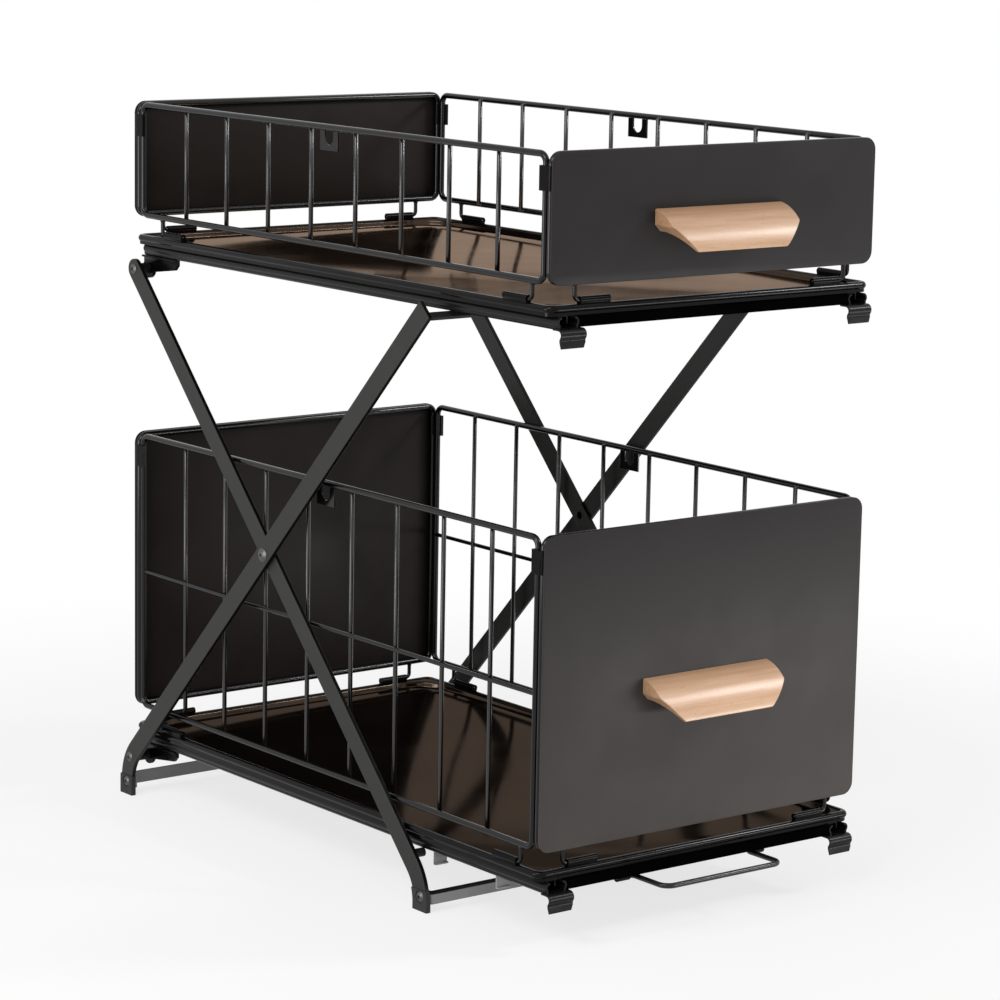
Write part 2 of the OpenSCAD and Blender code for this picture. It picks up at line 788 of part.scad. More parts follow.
module lower_hinge_brackets() { color(black) at_lower() both_sides() hinge_bracket(rivet_r + turn_gap); }
module upper_hinge_brackets() { color(black) at_upper() both_sides() hinge_bracket(rivet_r); }

// Rolls under the front member that hold the stand's wire
module stand_knuckles() {
    color(black) at_lower() both_sides()
        translate([stand_w / 2 + 1, stand_y, -stand_drop])
            difference() {
                union() {
                    rotate([0, 90, 0]) cylinder(r = stand_roll_r, h = stand_knuckle);
                    translate([0, -stand_d / 2, 0]) cube([stand_knuckle, stand_d, stand_drop - member_bottom]);
                }
                translate([-1, 0, 0]) rotate([0, 90, 0]) cylinder(r = stand_d / 2 + turn_gap, h = stand_knuckle + 2);
            }
}

// U-shaped wire stand, folded up along -Y
module swing_stand() {
    x = stand_w / 2 - stand_d / 2;
    color(steel_grey) placed() translate([0, stand_y, stand_z]) {
        both_sides() {
            translate([x, -stand_len + stand_corner, 0]) rotate([-90, 0, 0])
                cylinder(d = stand_d, h = stand_len - stand_corner - stand_bend);
            translate([x - stand_corner, -stand_len + stand_corner, 0]) rotate(270) wire_turn(stand_corner, stand_d);
            translate([x + stand_bend, -stand_bend, 0]) rotate(90) wire_turn(stand_bend, stand_d);
            translate([x + stand_bend, 0, 0]) rotate([0, 90, 0]) cylinder(d = stand_d, h = stand_tail - stand_bend);
        }
        translate([-x + stand_corner, -stand_len, 0]) rotate([0, 90, 0]) cylinder(d = stand_d, h = 2 * (x - stand_corner));
    }
}

module outer_leg_left() { color(steel_grey) placed() side(-1) outer_leg(); }
module outer_leg_right() { color(steel_grey) placed() side(1) outer_leg(); }
module inner_leg_left() { color(steel_grey) placed() side(-1) inner_leg(); }
module inner_leg_right() { color(steel_grey) placed() side(1) inner_leg(); }

// Narrow bar across the tops of the outer legs, on their lower front edges
module outer_top_crossbar() {
    color(steel_grey) placed()
        translate([-outer_x, 0, 0]) to_side()
            translate([rear_foot_y, rear_corner_z, 0]) rotate(180 - leg_angle)
                translate([outer_len - bar_t, bar_w / 2 - top_bar_w, 0]) cube([bar_t, top_bar_w, 2 * outer_x]);
}

module outer_foot_crossbar() { color(steel_grey) placed() foot_crossbar(rear_foot_y, outer_x, 1); }
module inner_foot_crossbar() { color(steel_grey) placed() foot_crossbar(front_foot_y, inner_x, -1); }
module outer_foot_caps() {
    color(rubber_black) placed() both_sides()
        translate([outer_x, rear_foot_y, 0]) to_side() foot_cap(rear_corner_z, outer_len);
}
module inner_foot_caps() {
    color(rubber_black) placed() both_sides()
        translate([inner_x, front_foot_y, 0]) to_side() mirror([1, 0, 0]) foot_cap(front_corner_z, inner_len);
}
module outer_foot_rivets() { color(zinc) placed() both_sides() foot_rivet(rear_foot_y, outer_x); }
module inner_foot_rivets() { color(zinc) placed() both_sides() foot_rivet(front_foot_y, inner_x); }

// Fixed in the outer legs, turning in the lower rack's brackets
module lower_hinge_rivets() {
    color(zinc) placed() both_sides() translate([0, hinge_y, hinge_z]) {
        translate([outer_x + bar_t, 0, 0]) rotate([0, 90, 0])
            rivet(outer_x + bar_t - bracket_out + bracket_t + 0.1, rivet_r, rivet_head_r, rivet_head_h);
        hinge_shoulder(outer_x + 0.1);
        hinge_tail();
    }
}

// Fixed in the upper rack's brackets, turning in the inner legs
module upper_hinge_rivets() {
    color(zinc) placed() both_sides() translate([0, hinge_y, hinge_z + tier_gap]) {
        translate([inner_x + bar_t + 0.1, 0, 0]) rotate([0, 90, 0])
            rivet(inner_x + bar_t + 0.1 - bracket_out + bracket_t, rivet_r, rivet_head_r, rivet_head_h);
        hinge_shoulder(inner_x);
    }
}

// Fixed in the inner legs, turning in the outer legs
module centre_rivets() {
    color(zinc) placed() both_sides() translate([0, cross_y, cross_z]) {
        translate([outer_x + bar_t + 0.1, 0, 0]) rotate([0, 90, 0])
            rivet(outer_x + bar_t + 0.1 - inner_x, centre_rivet_r, centre_head_r, centre_head_h);
        translate([inner_x + bar_t, 0, 0]) rotate([0, 90, 0]) cylinder(r = collar_r, h = leg_gap - 0.1);
    }
}

// Studs on the inner legs that the lower rack's rails rest on
module support_studs() {
    color(steel_grey) placed() both_sides()
        translate([stud_in, stud_y, stud_z]) rotate([0, 90, 0]) cylinder(r = stud_r, h = inner_x - stud_in);
}

module frame_set(h, y_dir) { translate([0, y_dir * frame_y, 0]) panel_frame(h); }
module clip_set(h) {
    both_sides() {
        translate([0, -frame_y, 0]) corner_clip(h);
        translate([0, frame_y, 0]) mirror([0, 1, 0]) corner_clip(h);
    }
}
module back_sheet(h) { translate([0, basket_d / 2, 0]) panel_sheet(h); }
module screw_set(h) { screw_places(h) translate([0, -basket_d / 2 + sheet_t, 0]) screw(); }

module lower_tray() { color(black) at_lower() tray(); }
module lower_slide_runners() { color(zinc) at_lower() both_sides() runner(); }
module lower_ball_cages() { color(zinc) at_lower() both_sides() ball_cage(); }
module lower_slide_balls() { color(zinc) at_lower() both_sides() slide_balls(); }
module lower_panel_knuckles() { color(black) at_lower() panel_knuckles(); }
module lower_front_frame() { color(black) at_lower() frame_set(lower_h, -1); }
module lower_back_frame() { color(black) at_lower() frame_set(lower_h, 1); }
module lower_front_sheet() { color(sheet_grey) at_lower() front_sheet(lower_h); }
module lower_back_sheet() { color(sheet_grey) at_lower() back_sheet(lower_h); }
module lower_corner_clips() { color(black) at_lower() clip_set(lower_h); }
module lower_handle() { color(beech) at_lower() handle_placed(lower_h); }
module lower_handle_screws() { color(zinc) at_lower() screw_set(lower_h); }
module lower_left_grille() { color(black) at_lower() side(-1) grille(lower_h, true); }
module lower_right_grille() { color(black) at_lower() side(1) grille(lower_h, true); }
module lower_left_hang_plate() { color(black) at_lower() side(-1) hang_plate(lower_h); }
module lower_right_hang_plate() { color(black) at_lower() side(1) hang_plate(lower_h); }

module upper_tray() { color(black) at_upper() tray(); }
module upper_slide_runners() { color(zinc) at_upper() both_sides() runner(); }
module upper_ball_cages() { color(zinc) at_upper() both_sides() ball_cage(); }
module upper_slide_balls() { color(zinc) at_upper() both_sides() slide_balls(); }
module upper_panel_knuckles() { color(black) at_upper() panel_knuckles(); }
module upper_front_frame() { color(black) at_upper() frame_set(upper_h, -1); }
module upper_back_frame() { color(black) at_upper() frame_set(upper_h, 1); }
module upper_front_sheet() { color(sheet_grey) at_upper() front_sheet(upper_h); }
module upper_back_sheet() { color(sheet_grey) at_upper() back_sheet(upper_h); }
module upper_corner_clips() { color(black) at_upper() clip_set(upper_h); }
module upper_handle() { color(beech) at_upper() handle_placed(upper_h); }
module upper_handle_screws() { color(zinc) at_upper() screw_set(upper_h); }
module upper_left_grille() { color(black) at_upper() side(-1) grille(upper_h, false); }
module upper_right_grille() { color(black) at_upper() side(1) grille(upper_h, false); }
module upper_left_hang_plate() { color(black) at_upper() side(-1) hang_plate(upper_h); }
module upper_right_hang_plate() { color(black) at_upper() side(1) hang_plate(upper_h); }

lower_rail_left();
lower_rail_right();
lower_front_member();
lower_rear_member();
lower_hinge_brackets();
stand_knuckles();
swing_stand();
outer_leg_left();
outer_leg_right();
outer_top_crossbar();
outer_foot_crossbar();
outer_foot_caps();
outer_foot_rivets();
lower_hinge_rivets();
inner_leg_left();
inner_leg_right();
inner_foot_crossbar();
inner_foot_caps();
inner_foot_rivets();
centre_rivets();
support_studs();
upper_rail_left();
upper_rail_right();
upper_front_member();
upper_rear_member();
upper_hinge_brackets();
upper_hinge_rivets();
lower_tray();
lower_slide_runners();
lower_panel_knuckles();
lower_front_frame();
lower_front_sheet();
lower_back_frame();
lower_back_sheet();
lower_corner_clips();
lower_handle();
lower_handle_screws();
lower_left_grille();
lower_right_grille();
lower_left_hang_plate();
lower_right_hang_plate();
lower_ball_cages();
lower_slide_balls();
upper_tray();
upper_slide_runners();
upper_panel_knuckles();
upper_front_frame();
upper_front_sheet();
upper_back_frame();
upper_back_sheet();
upper_corner_clips();
upper_handle();
upper_handle_screws();
upper_left_grille();
upper_right_grille();
upper_left_hang_plate();
upper_right_hang_plate();
upper_ball_cages();
upper_slide_balls();
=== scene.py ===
"""Looks of a folding two-tier cabinet rack with two pull-out baskets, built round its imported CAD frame.

Sizes in the classes are millimetres. Each finished piece is a mesh in metres in the frame's own coordinates.
"""

from __future__ import annotations

import json
import logging
import math
from collections.abc import Callable
from dataclasses import dataclass, field
from enum import Enum
from typing import Any

import bmesh
import bpy
from mathutils import Matrix, Vector

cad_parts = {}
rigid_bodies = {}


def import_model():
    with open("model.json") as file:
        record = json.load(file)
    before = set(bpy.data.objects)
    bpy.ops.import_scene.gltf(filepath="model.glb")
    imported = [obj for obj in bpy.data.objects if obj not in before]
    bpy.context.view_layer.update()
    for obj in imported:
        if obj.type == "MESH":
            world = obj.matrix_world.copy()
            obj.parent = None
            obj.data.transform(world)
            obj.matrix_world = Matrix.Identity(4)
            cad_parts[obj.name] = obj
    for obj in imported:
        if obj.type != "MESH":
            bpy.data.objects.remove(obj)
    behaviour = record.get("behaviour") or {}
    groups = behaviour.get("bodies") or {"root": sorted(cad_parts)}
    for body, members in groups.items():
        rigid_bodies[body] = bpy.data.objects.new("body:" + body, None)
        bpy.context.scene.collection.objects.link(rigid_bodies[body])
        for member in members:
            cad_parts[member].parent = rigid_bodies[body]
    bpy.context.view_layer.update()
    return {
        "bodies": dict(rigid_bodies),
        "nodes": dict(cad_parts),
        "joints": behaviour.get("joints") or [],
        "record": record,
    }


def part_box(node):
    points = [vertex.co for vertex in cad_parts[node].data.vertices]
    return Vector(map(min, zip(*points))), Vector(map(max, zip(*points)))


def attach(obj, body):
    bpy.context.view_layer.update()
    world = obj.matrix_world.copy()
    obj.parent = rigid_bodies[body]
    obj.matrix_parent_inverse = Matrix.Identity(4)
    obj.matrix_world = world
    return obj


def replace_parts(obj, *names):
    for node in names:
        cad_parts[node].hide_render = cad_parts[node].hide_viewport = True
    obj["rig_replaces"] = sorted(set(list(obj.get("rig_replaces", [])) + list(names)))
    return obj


LOG = logging.getLogger("cabinet_basket")
MM = 0.001
TURN = 2.0 * math.pi
WHITE = (1.0, 1.0, 1.0, 1.0)

Tree = bpy.types.NodeTree
Socket = bpy.types.NodeSocket
Vert = bmesh.types.BMVert
Edge = bmesh.types.BMEdge
Face = bmesh.types.BMFace
Point = tuple[float, float, float]
Frame = dict[str, Any]


class Side(Enum):
    """The two sides of the rack, named as their CAD nodes are."""

    LEFT = "left"
    RIGHT = "right"

    @property
    def sign(self) -> int:
        """The side's sign along X."""
        return 1 if self is Side.RIGHT else -1


class Tier(Enum):
    """The two baskets, named as their CAD nodes are."""

    LOWER = "lower"
    UPPER = "upper"


class End(Enum):
    """The two ends of a basket, named as their CAD nodes are."""

    FRONT = "front"
    BACK = "back"

    @property
    def sign(self) -> int:
        """The end's sign along Y."""
        return -1 if self is End.FRONT else 1


def linear(code: str) -> tuple[float, float, float, float]:
    """Turns an sRGB hex colour into the linear colour that shaders take.

    Args:
        code: The colour as "#rrggbb".

    Returns:
        Linear red, green and blue, and an alpha of 1.
    """
    parts = [int(code[i : i + 2], 16) / 255.0 for i in (1, 3, 5)]
    lin = [c / 12.92 if c <= 0.04045 else ((c + 0.055) / 1.055) ** 2.4 for c in parts]
    return (lin[0], lin[1], lin[2], 1.0)


def add_node(tree: Tree, kind: str, inputs: dict[Any, Any] | None = None, out: int | str = 0, **settings: Any) -> Any:
    """Adds a shader node, sets it up and joins its inputs.

    Args:
        tree: The node tree that gets the node.
        kind: The node's type name without "ShaderNode".
        inputs: Socket name or index to a constant, or to the output socket that feeds it.
        out: Name or index of the output that is wanted.
        **settings: Attributes of the node.

    Returns:
        The output socket, or None if the node has no output.
    """
    node = tree.nodes.new("ShaderNode" + kind)
    for key, value in settings.items():
        setattr(node, key, value)
    for key, value in (inputs or {}).items():
        if isinstance(value, Socket):
            tree.links.new(value, node.inputs[key])
        else:
            node.inputs[key].default_value = value
    return node.outputs[out] if node.outputs else None


def span(tree: Tree, value: Socket, low: float, high: float, to_low: float, to_high: float) -> Socket:
    """Maps a value from one range to another and clamps it."""
    return add_node(tree, "MapRange", {0: value, 1: low, 2: high, 3: to_low, 4: to_high})


def emptied(owner: bpy.types.ID) -> Tree:
    """Turns on the nodes of a material or a world.

    Args:
        owner: The material or world.

    Returns:
        Its node tree, emptied.
    """
    owner.use_nodes = True
    owner.node_tree.nodes.clear()
    return owner.node_tree


# ---------------------------------------------------------------- finishes


@dataclass(frozen=True)
class Finish:
    """What every finish shares: a name, the record's slot it stands for, and patterns sized in millimetres."""

    name: str
    slot: str

    def material(self) -> bpy.types.Material:
        """Builds the material, or finds it if another piece has already made it.

        Returns:
            The material.
        """
        found = bpy.data.materials.get(self.name)
        if found is not None:
            return found
        made = bpy.data.materials.new(self.name)
        tree = emptied(made)
        place = add_node(tree, "TexCoord", out="Object")
        grid = add_node(tree, "VectorMath", {0: place, "Scale": 1.0 / MM}, operation="SCALE")
        add_node(tree, "OutputMaterial", {"Surface": self.surface(tree, grid)})
        return made

    def surface(self, tree: Tree, grid: Socket) -> Socket:
        """Builds the shader. Each finish has its own.

        Args:
            tree: The material's node tree.
            grid: Object coordinates in millimetres.

        Returns:
            The shader socket.
        """
        raise NotImplementedError

    @staticmethod
    def noise(tree: Tree, grid: Socket, size: float, detail: float, stretch: Point = (1.0, 1.0, 1.0)) -> Socket:
        """Adds a noise pattern.

        Args:
            tree: The material's node tree.
            grid: Coordinates in millimetres.
            size: Size of a patch in millimetres.
            detail: Octaves of finer noise.
            stretch: How much longer a patch is along each axis.

        Returns:
            The noise, most of it from 0.3 to 0.7.
        """
        scale = tuple(1.0 / (size * s) for s in stretch)
        scaled = add_node(tree, "Mapping", {"Vector": grid, "Scale": scale})
        return add_node(tree, "TexNoise", {"Vector": scaled, "Scale": 1.0, "Detail": detail})

    @staticmethod
    def laid(tree: Tree, base: Any, over: str, mask: Socket, low: float, high: float, most: float = 1.0) -> Socket:
        """Lays a colour over another where a pattern is strong.

        Args:
            tree: The material's node tree.
            base: The colour underneath, as hex or as a socket.
            over: The colour on top, as hex.
            mask: The pattern.
            low: The pattern's value where the top colour starts.
            high: Its value where the top colour is fullest.
            most: The top colour's share there.

        Returns:
            The mixed colour.
        """
        under = linear(base) if isinstance(base, str) else base
        share = span(tree, mask, low, high, 0.0, most)
        return add_node(tree, "Mix", {"Factor": share, 6: under, 7: linear(over)}, 2, data_type="RGBA")

    @staticmethod
    def edges(tree: Tree, radius: float) -> Socket:
        """Finds sharp edges.

        Args:
            tree: The material's node tree.
            radius: How far from an edge the value fades out, in millimetres.

        Returns:
            1 on an edge and 0 away from it.
        """
        soft = add_node(tree, "Bevel", {"Radius": radius * MM}, samples=4)
        true = add_node(tree, "NewGeometry", out="Normal")
        same = add_node(tree, "VectorMath", {0: soft, 1: true}, "Value", operation="DOT_PRODUCT")
        return span(tree, same, 0.99, 0.75, 0.0, 1.0)


@dataclass(frozen=True)
class Lacquer(Finish):
    """Baked paint on steel: fine orange peel, cloudy gloss, specks, and edges where the coat is thinner.

    cloud, speck, chip and peel are the sizes of those patterns, rub is the width of a worn edge and height the peel's
    depth. low is a paler colour that the paint turns to from painted_light_top down to painted_light_foot: a painted
    light, lighter toward the floor.
    """

    colour: str
    thin: str
    roughness: float = 0.35
    specular: float = 0.35
    peel: float = 0.9
    height: float = 0.006
    cloud: float = 30.0
    speck: float = 0.35
    chip: float = 4.0
    rub: float = 0.5
    low: str = ""
    painted_light_top: float = 224.0
    painted_light_foot: float = 50.0

    def surface(self, tree: Tree, grid: Socket) -> Socket:
        """Builds the paint. See Finish.surface."""
        clouds = self.noise(tree, grid, self.cloud, 3.0)
        specks = self.noise(tree, grid, self.speck, 1.0)
        chips = self.noise(tree, grid, self.chip, 3.0)
        base: Any = self.colour
        # Painted light: the paint turns to the paler low colour toward the floor.
        if self.low:
            height = add_node(tree, "SeparateXYZ", {0: grid}, "Z")
            base = self.laid(tree, base, self.low, height, self.painted_light_top, self.painted_light_foot)
        shade = self.laid(tree, base, self.thin, clouds, 0.3, 0.7, 0.25)
        dusty = self.laid(tree, shade, self.thin, specks, 0.66, 0.8, 0.3)
        broken = span(tree, chips, 0.35, 0.65, 0.25, 0.9)
        rub = add_node(tree, "Math", {0: self.edges(tree, self.rub), 1: broken}, operation="MULTIPLY")
        peel = self.noise(tree, grid, self.peel, 1.0)
        return add_node(tree, "BsdfPrincipled", {
            "Base Color": self.laid(tree, dusty, self.thin, rub, 0.0, 1.0),
            "Roughness": span(tree, clouds, 0.3, 0.7, self.roughness * 0.88, self.roughness * 1.14),
            "Normal": add_node(tree, "Bump", {"Strength": 0.6, "Distance": self.height * MM, "Height": peel}),
            "Specular IOR Level": self.specular,
        })


@dataclass(frozen=True)
class TrayGloss(Finish):
    """Deep gloss lacquer: near-black, its gloss tinted brown, a painted reflection of a warm room.

    share is the strength of that painted reflection; cloud, mote and ripple are the sizes of its patterns.
    """

    base: str = "#0b0908"
    dust: str = "#2b2521"
    painted_reflection: str = "#a18a78"
    share: float = 0.13
    cloud: float = 45.0
    mote: float = 0.5
    ripple: float = 3.0

    def surface(self, tree: Tree, grid: Socket) -> Socket:
        """Builds the lacquer. See Finish.surface."""
        clouds = self.noise(tree, grid, self.cloud, 3.0)
        motes = self.noise(tree, grid, self.mote, 2.0)
        ripple = self.noise(tree, grid, self.ripple, 1.0)
        bumps = add_node(tree, "Bump", {"Strength": 0.5, "Distance": 0.01 * MM, "Height": ripple})
        base = self.laid(tree, self.base, self.dust, motes, 0.64, 0.78, 0.5)
        paint = add_node(tree, "BsdfDiffuse", {"Color": base, "Normal": bumps})
        rough = span(tree, clouds, 0.3, 0.7, 0.09, 0.15)
        # The gloss is tinted brown: a painted reflection.
        gloss = add_node(tree, "BsdfAnisotropic", {"Color": linear(self.painted_reflection), "Roughness": rough, "Normal": bumps})
        amount = span(tree, clouds, 0.3, 0.7, self.share * 0.92, self.share * 1.08)
        return add_node(tree, "MixShader", {0: amount, 1: paint, 2: gloss})


@dataclass(frozen=True)
class BareSteel(Finish):
    """Zinc-plated or polished steel: streaks along the drawn length and faint spangles.

    line is a streak's width, stretch its length in widths, and cells the number of spangles to a millimetre.
    """

    colour: str
    roughness: float = 0.35
    spangle: str = "#5a5a5c"
    line: float = 0.4
    stretch: Point = (1.0, 30.0, 1.0)
    cells: float = 0.35

    def surface(self, tree: Tree, grid: Socket) -> Socket:
        """Builds the metal. See Finish.surface."""
        lines = self.noise(tree, grid, self.line, 2.0, self.stretch)
        cells = add_node(tree, "TexVoronoi", {"Vector": grid, "Scale": self.cells}, "Distance")
        return add_node(tree, "BsdfPrincipled", {
            "Base Color": self.laid(tree, self.colour, self.spangle, cells, 0.0, 1.0, 0.35), "Metallic": 1.0,
            "Roughness": span(tree, lines, 0.3, 0.7, self.roughness * 0.8, self.roughness * 1.25),
            "Normal": add_node(tree, "Bump", {"Strength": 0.35, "Distance": 0.008 * MM, "Height": lines}),
        })


@dataclass(frozen=True)
class Beech(Finish):
    """Clear-lacquered beech: pale rings along the length, short dark rays and fine pores.

    sway is how far apart the rings' bends are; ring, ray and pore are the widths of those marks, and rub the width of
    a pale, worn edge.
    """

    pale: str = "#c8a07c"
    mid: str = "#b98d68"
    deep: str = "#9c7253"
    worn: str = "#e2c8ab"
    roughness: float = 0.42
    sway: float = 18.0
    ring: float = 2.6
    ray: float = 0.45
    pore: float = 0.16
    rub: float = 0.8

    def surface(self, tree: Tree, grid: Socket) -> Socket:
        """Builds the wood. See Finish.surface."""
        sway = self.noise(tree, grid, self.sway, 2.0, (4.0, 1.0, 1.0))
        bent = add_node(tree, "CombineXYZ", {
            "Y": span(tree, sway, 0.0, 1.0, -3.0, 3.0),
            "Z": span(tree, sway, 0.0, 1.0, 4.0, -4.0),
        })
        push = add_node(tree, "VectorMath", {0: grid, 1: bent}, operation="ADD")
        rings = self.noise(tree, push, self.ring, 3.0, (26.0, 1.0, 1.0))
        rays = self.noise(tree, grid, self.ray, 1.0, (7.0, 1.0, 1.0))
        pores = self.noise(tree, grid, self.pore, 1.0, (14.0, 1.0, 1.0))
        tone = self.laid(tree, self.pale, self.mid, rings, 0.32, 0.68)
        flecked = self.laid(tree, tone, self.deep, rays, 0.62, 0.78, 0.55)
        pored = self.laid(tree, flecked, self.deep, pores, 0.66, 0.8, 0.45)
        relief = add_node(tree, "Math", {0: rings, 1: pores}, operation="SUBTRACT")
        return add_node(tree, "BsdfPrincipled", {
            "Base Color": self.laid(tree, pored, self.worn, self.edges(tree, self.rub), 0.0, 1.0, 0.3),
            "Roughness": span(tree, rings, 0.3, 0.7, self.roughness, self.roughness + 0.12),
            "Normal": add_node(tree, "Bump", {"Strength": 0.35, "Distance": 0.03 * MM, "Height": relief}),
            "Specular IOR Level": 0.4, "Coat Weight": 0.9, "Coat Roughness": 0.32,
        })


@dataclass(frozen=True)
class Rubber(Finish):
    """Moulded rubber: matt, faintly pebbled and dusty. pebbles is their number to a millimetre."""

    colour: str
    dust: str = "#3d3c3a"
    pebbles: float = 2.2
    cloud: float = 5.0

    def surface(self, tree: Tree, grid: Socket) -> Socket:
        """Builds the rubber. See Finish.surface."""
        pebbles = add_node(tree, "TexVoronoi", {"Vector": grid, "Scale": self.pebbles}, "Distance")
        dust = self.noise(tree, grid, self.cloud, 4.0)
        return add_node(tree, "BsdfPrincipled", {
            "Base Color": self.laid(tree, self.colour, self.dust, dust, 0.45, 0.75, 0.3),
            "Roughness": 0.7, "Specular IOR Level": 0.3,
            "Normal": add_node(tree, "Bump", {"Strength": 0.5, "Distance": 0.03 * MM, "Height": pebbles}),
        })


# Powder coat on the folded parts of the racks: satin black, its edges catching the light.
RACK_BLACK = Lacquer("rack_powder_coat", "black_steel", "#040404", "#0f0f0f", 0.24, 0.07)
# A shaded copy of the same coat on the cross members, darker and without gloss: a painted shade for the shade under
# the trays.
MEMBER_SHADED_BLACK = Lacquer("member_shaded_powder_coat", "black_steel", "#030303", "#0a0a0a", 0.3, 0.0)
# A lit copy of the same coat on the rails, paler and glossier, so that their curled hooks catch the light: a painted
# highlight.
RAIL_LIT_BLACK = Lacquer("rail_lit_powder_coat", "black_steel", "#0d0d0d", "#1f1f1e", 0.28, 0.14)
# Powder coat on the flat leg bars, a little greyer, so that they stand out against the baskets.
LEG_GREY = Lacquer("leg_powder_coat", "grey_steel", "#262625", "#343433", 0.4, 0.16)
# The sheared edges of those bars, painted near-black: a painted shade that outlines each bar.
EDGE_SHADE_BLACK = Lacquer("sheared_edge_painted_shade", "grey_steel", "#0c0c0c", "#171717", 0.3, 0.08)
# A paler, lit copy of the grey powder coat on the foot crossbars and the rails' catches, mid grey and matt: painted
# light.
CROSSBAR_LIT_GREY = Lacquer("crossbar_lit_powder_coat", "grey_steel", "#828283", "#949495", 0.42, 0.25)
# Gloss lacquer on the swing-down stand's wire: dark grey with a soft highlight.
STAND_GREY = Lacquer("stand_lacquer", "grey_steel", "#161616", "#333332", 0.2, 0.3)
# Matt lacquer on the front sheets, warm charcoal, painted paler toward the floor: a painted light on the lower sheet.
FRONT_GREY = Lacquer("front_panel_lacquer", "panel_sheet", "#2c2a2a", "#343131", 0.42, 0.09, height=0.004,
                     low="#4a4644")
# The back sheets have the same lacquer, painted darker and browner all over: a painted shade for the inside of the
# baskets.
BACK_SHADED_BROWN = Lacquer("back_panel_shaded_lacquer", "panel_sheet", "#201c1a", "#2c2724", 0.36, 0.08, height=0.004)
# Gloss lacquer on the wires, which shows a thin bright line along each.
WIRE_BLACK = Lacquer("wire_gloss_lacquer", "wire_steel", "#060606", "#121111", 0.14, 0.28, peel=1.6)
# A lit copy of the same lacquer on the thinner upright wires, paler and glossier: a painted highlight that fills half
# the width.
UPRIGHT_LIT_BLACK = Lacquer("upright_lit_gloss_lacquer", "wire_steel", "#0c0c0c", "#1b1a1a", 0.2, 0.62, peel=1.6)
# Gloss lacquer on the trays' rolled beads and skirts: black with narrow lights.
BEAD_BLACK = Lacquer("bead_gloss_lacquer", "tray_steel", "#040404", "#121111", 0.12, 0.12, peel=2.2)
# Deep gloss on the upper tray's pressed floor, with a strong brown painted reflection: the lit copy of the tray gloss.
UPPER_TRAY_LIT_GLOSS = TrayGloss("upper_tray_lit_gloss_lacquer", "tray_steel", share=0.68)
# The lower tray's floor: a shaded copy of the same gloss, its painted reflection weaker, a painted shade.
LOWER_TRAY_SHADED_GLOSS = TrayGloss("lower_tray_shaded_gloss_lacquer", "tray_steel")
# The web round each floor: the same gloss with a weak painted reflection, so that it reads dark, a painted shade.
TRAY_WEB_SHADED_GLOSS = TrayGloss("tray_web_shaded_gloss_lacquer", "tray_steel")
# Steel of the slide runners and cages, painted dark: a painted shade for the inside of the rails.
SLIDE_SHADED = BareSteel("slide_steel_painted_shade", "zinc_steel", "#232324", 0.4)
# Zinc-plated rivets and screws: small grey spots with a glint.
ZINC = BareSteel("zinc_plated_steel", "zinc_steel", "#585755", 0.42)
# The dimple in a rivet's head, painted dark: a painted shade in the hollow.
DIMPLE_SHADE = Lacquer("rivet_dimple_painted_shade", "zinc_steel", "#151515", "#2a2a2a", 0.6, 0.1)
# Polished bearing balls: bright and mirror-like.
BEARING = BareSteel("polished_bearing_steel", "bearing_steel", "#c9cacc", 0.12)
# The handles' clear-lacquered wood: warm tan with a silky highlight.
WOOD = Beech("clear_lacquered_beech", "beech")
# The foot caps: matt black.
FOOT_RUBBER = Rubber("foot_cap_rubber", "foot_rubber", "#242424")


# ---------------------------------------------------------------- mesh building

# Turns a drawing in the XY plane upright, its y along Z and its z toward the front.
UPRIGHT = Matrix.Rotation(TURN / 4, 4, "X")
# Turns a drawing in the XY plane to the side, its x along Y, its y along Z and its z along X.
SIDEWAYS = Matrix(((0, 0, 1, 0), (1, 0, 0, 0), (0, 1, 0, 0), (0, 0, 0, 1)))
# The same with its x toward the front.
FORWARD = Matrix(((0, 0, 1, 0), (-1, 0, 0, 0), (0, 1, 0, 0), (0, 0, 0, 1)))
# Turns a section that faces Z to face X.
EASTWARD = Matrix.Rotation(TURN / 4, 4, "Y")


def shift(x: float = 0.0, y: float = 0.0, z: float = 0.0) -> Matrix:
    """Returns a move along the three axes."""
    return Matrix.Translation(Vector((x, y, z)))


def box_mm(node: str) -> tuple[Vector, Vector]:
    """Returns the low and the high corner of a CAD node, in millimetres."""
    low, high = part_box(node)
    return Vector(low) / MM, Vector(high) / MM


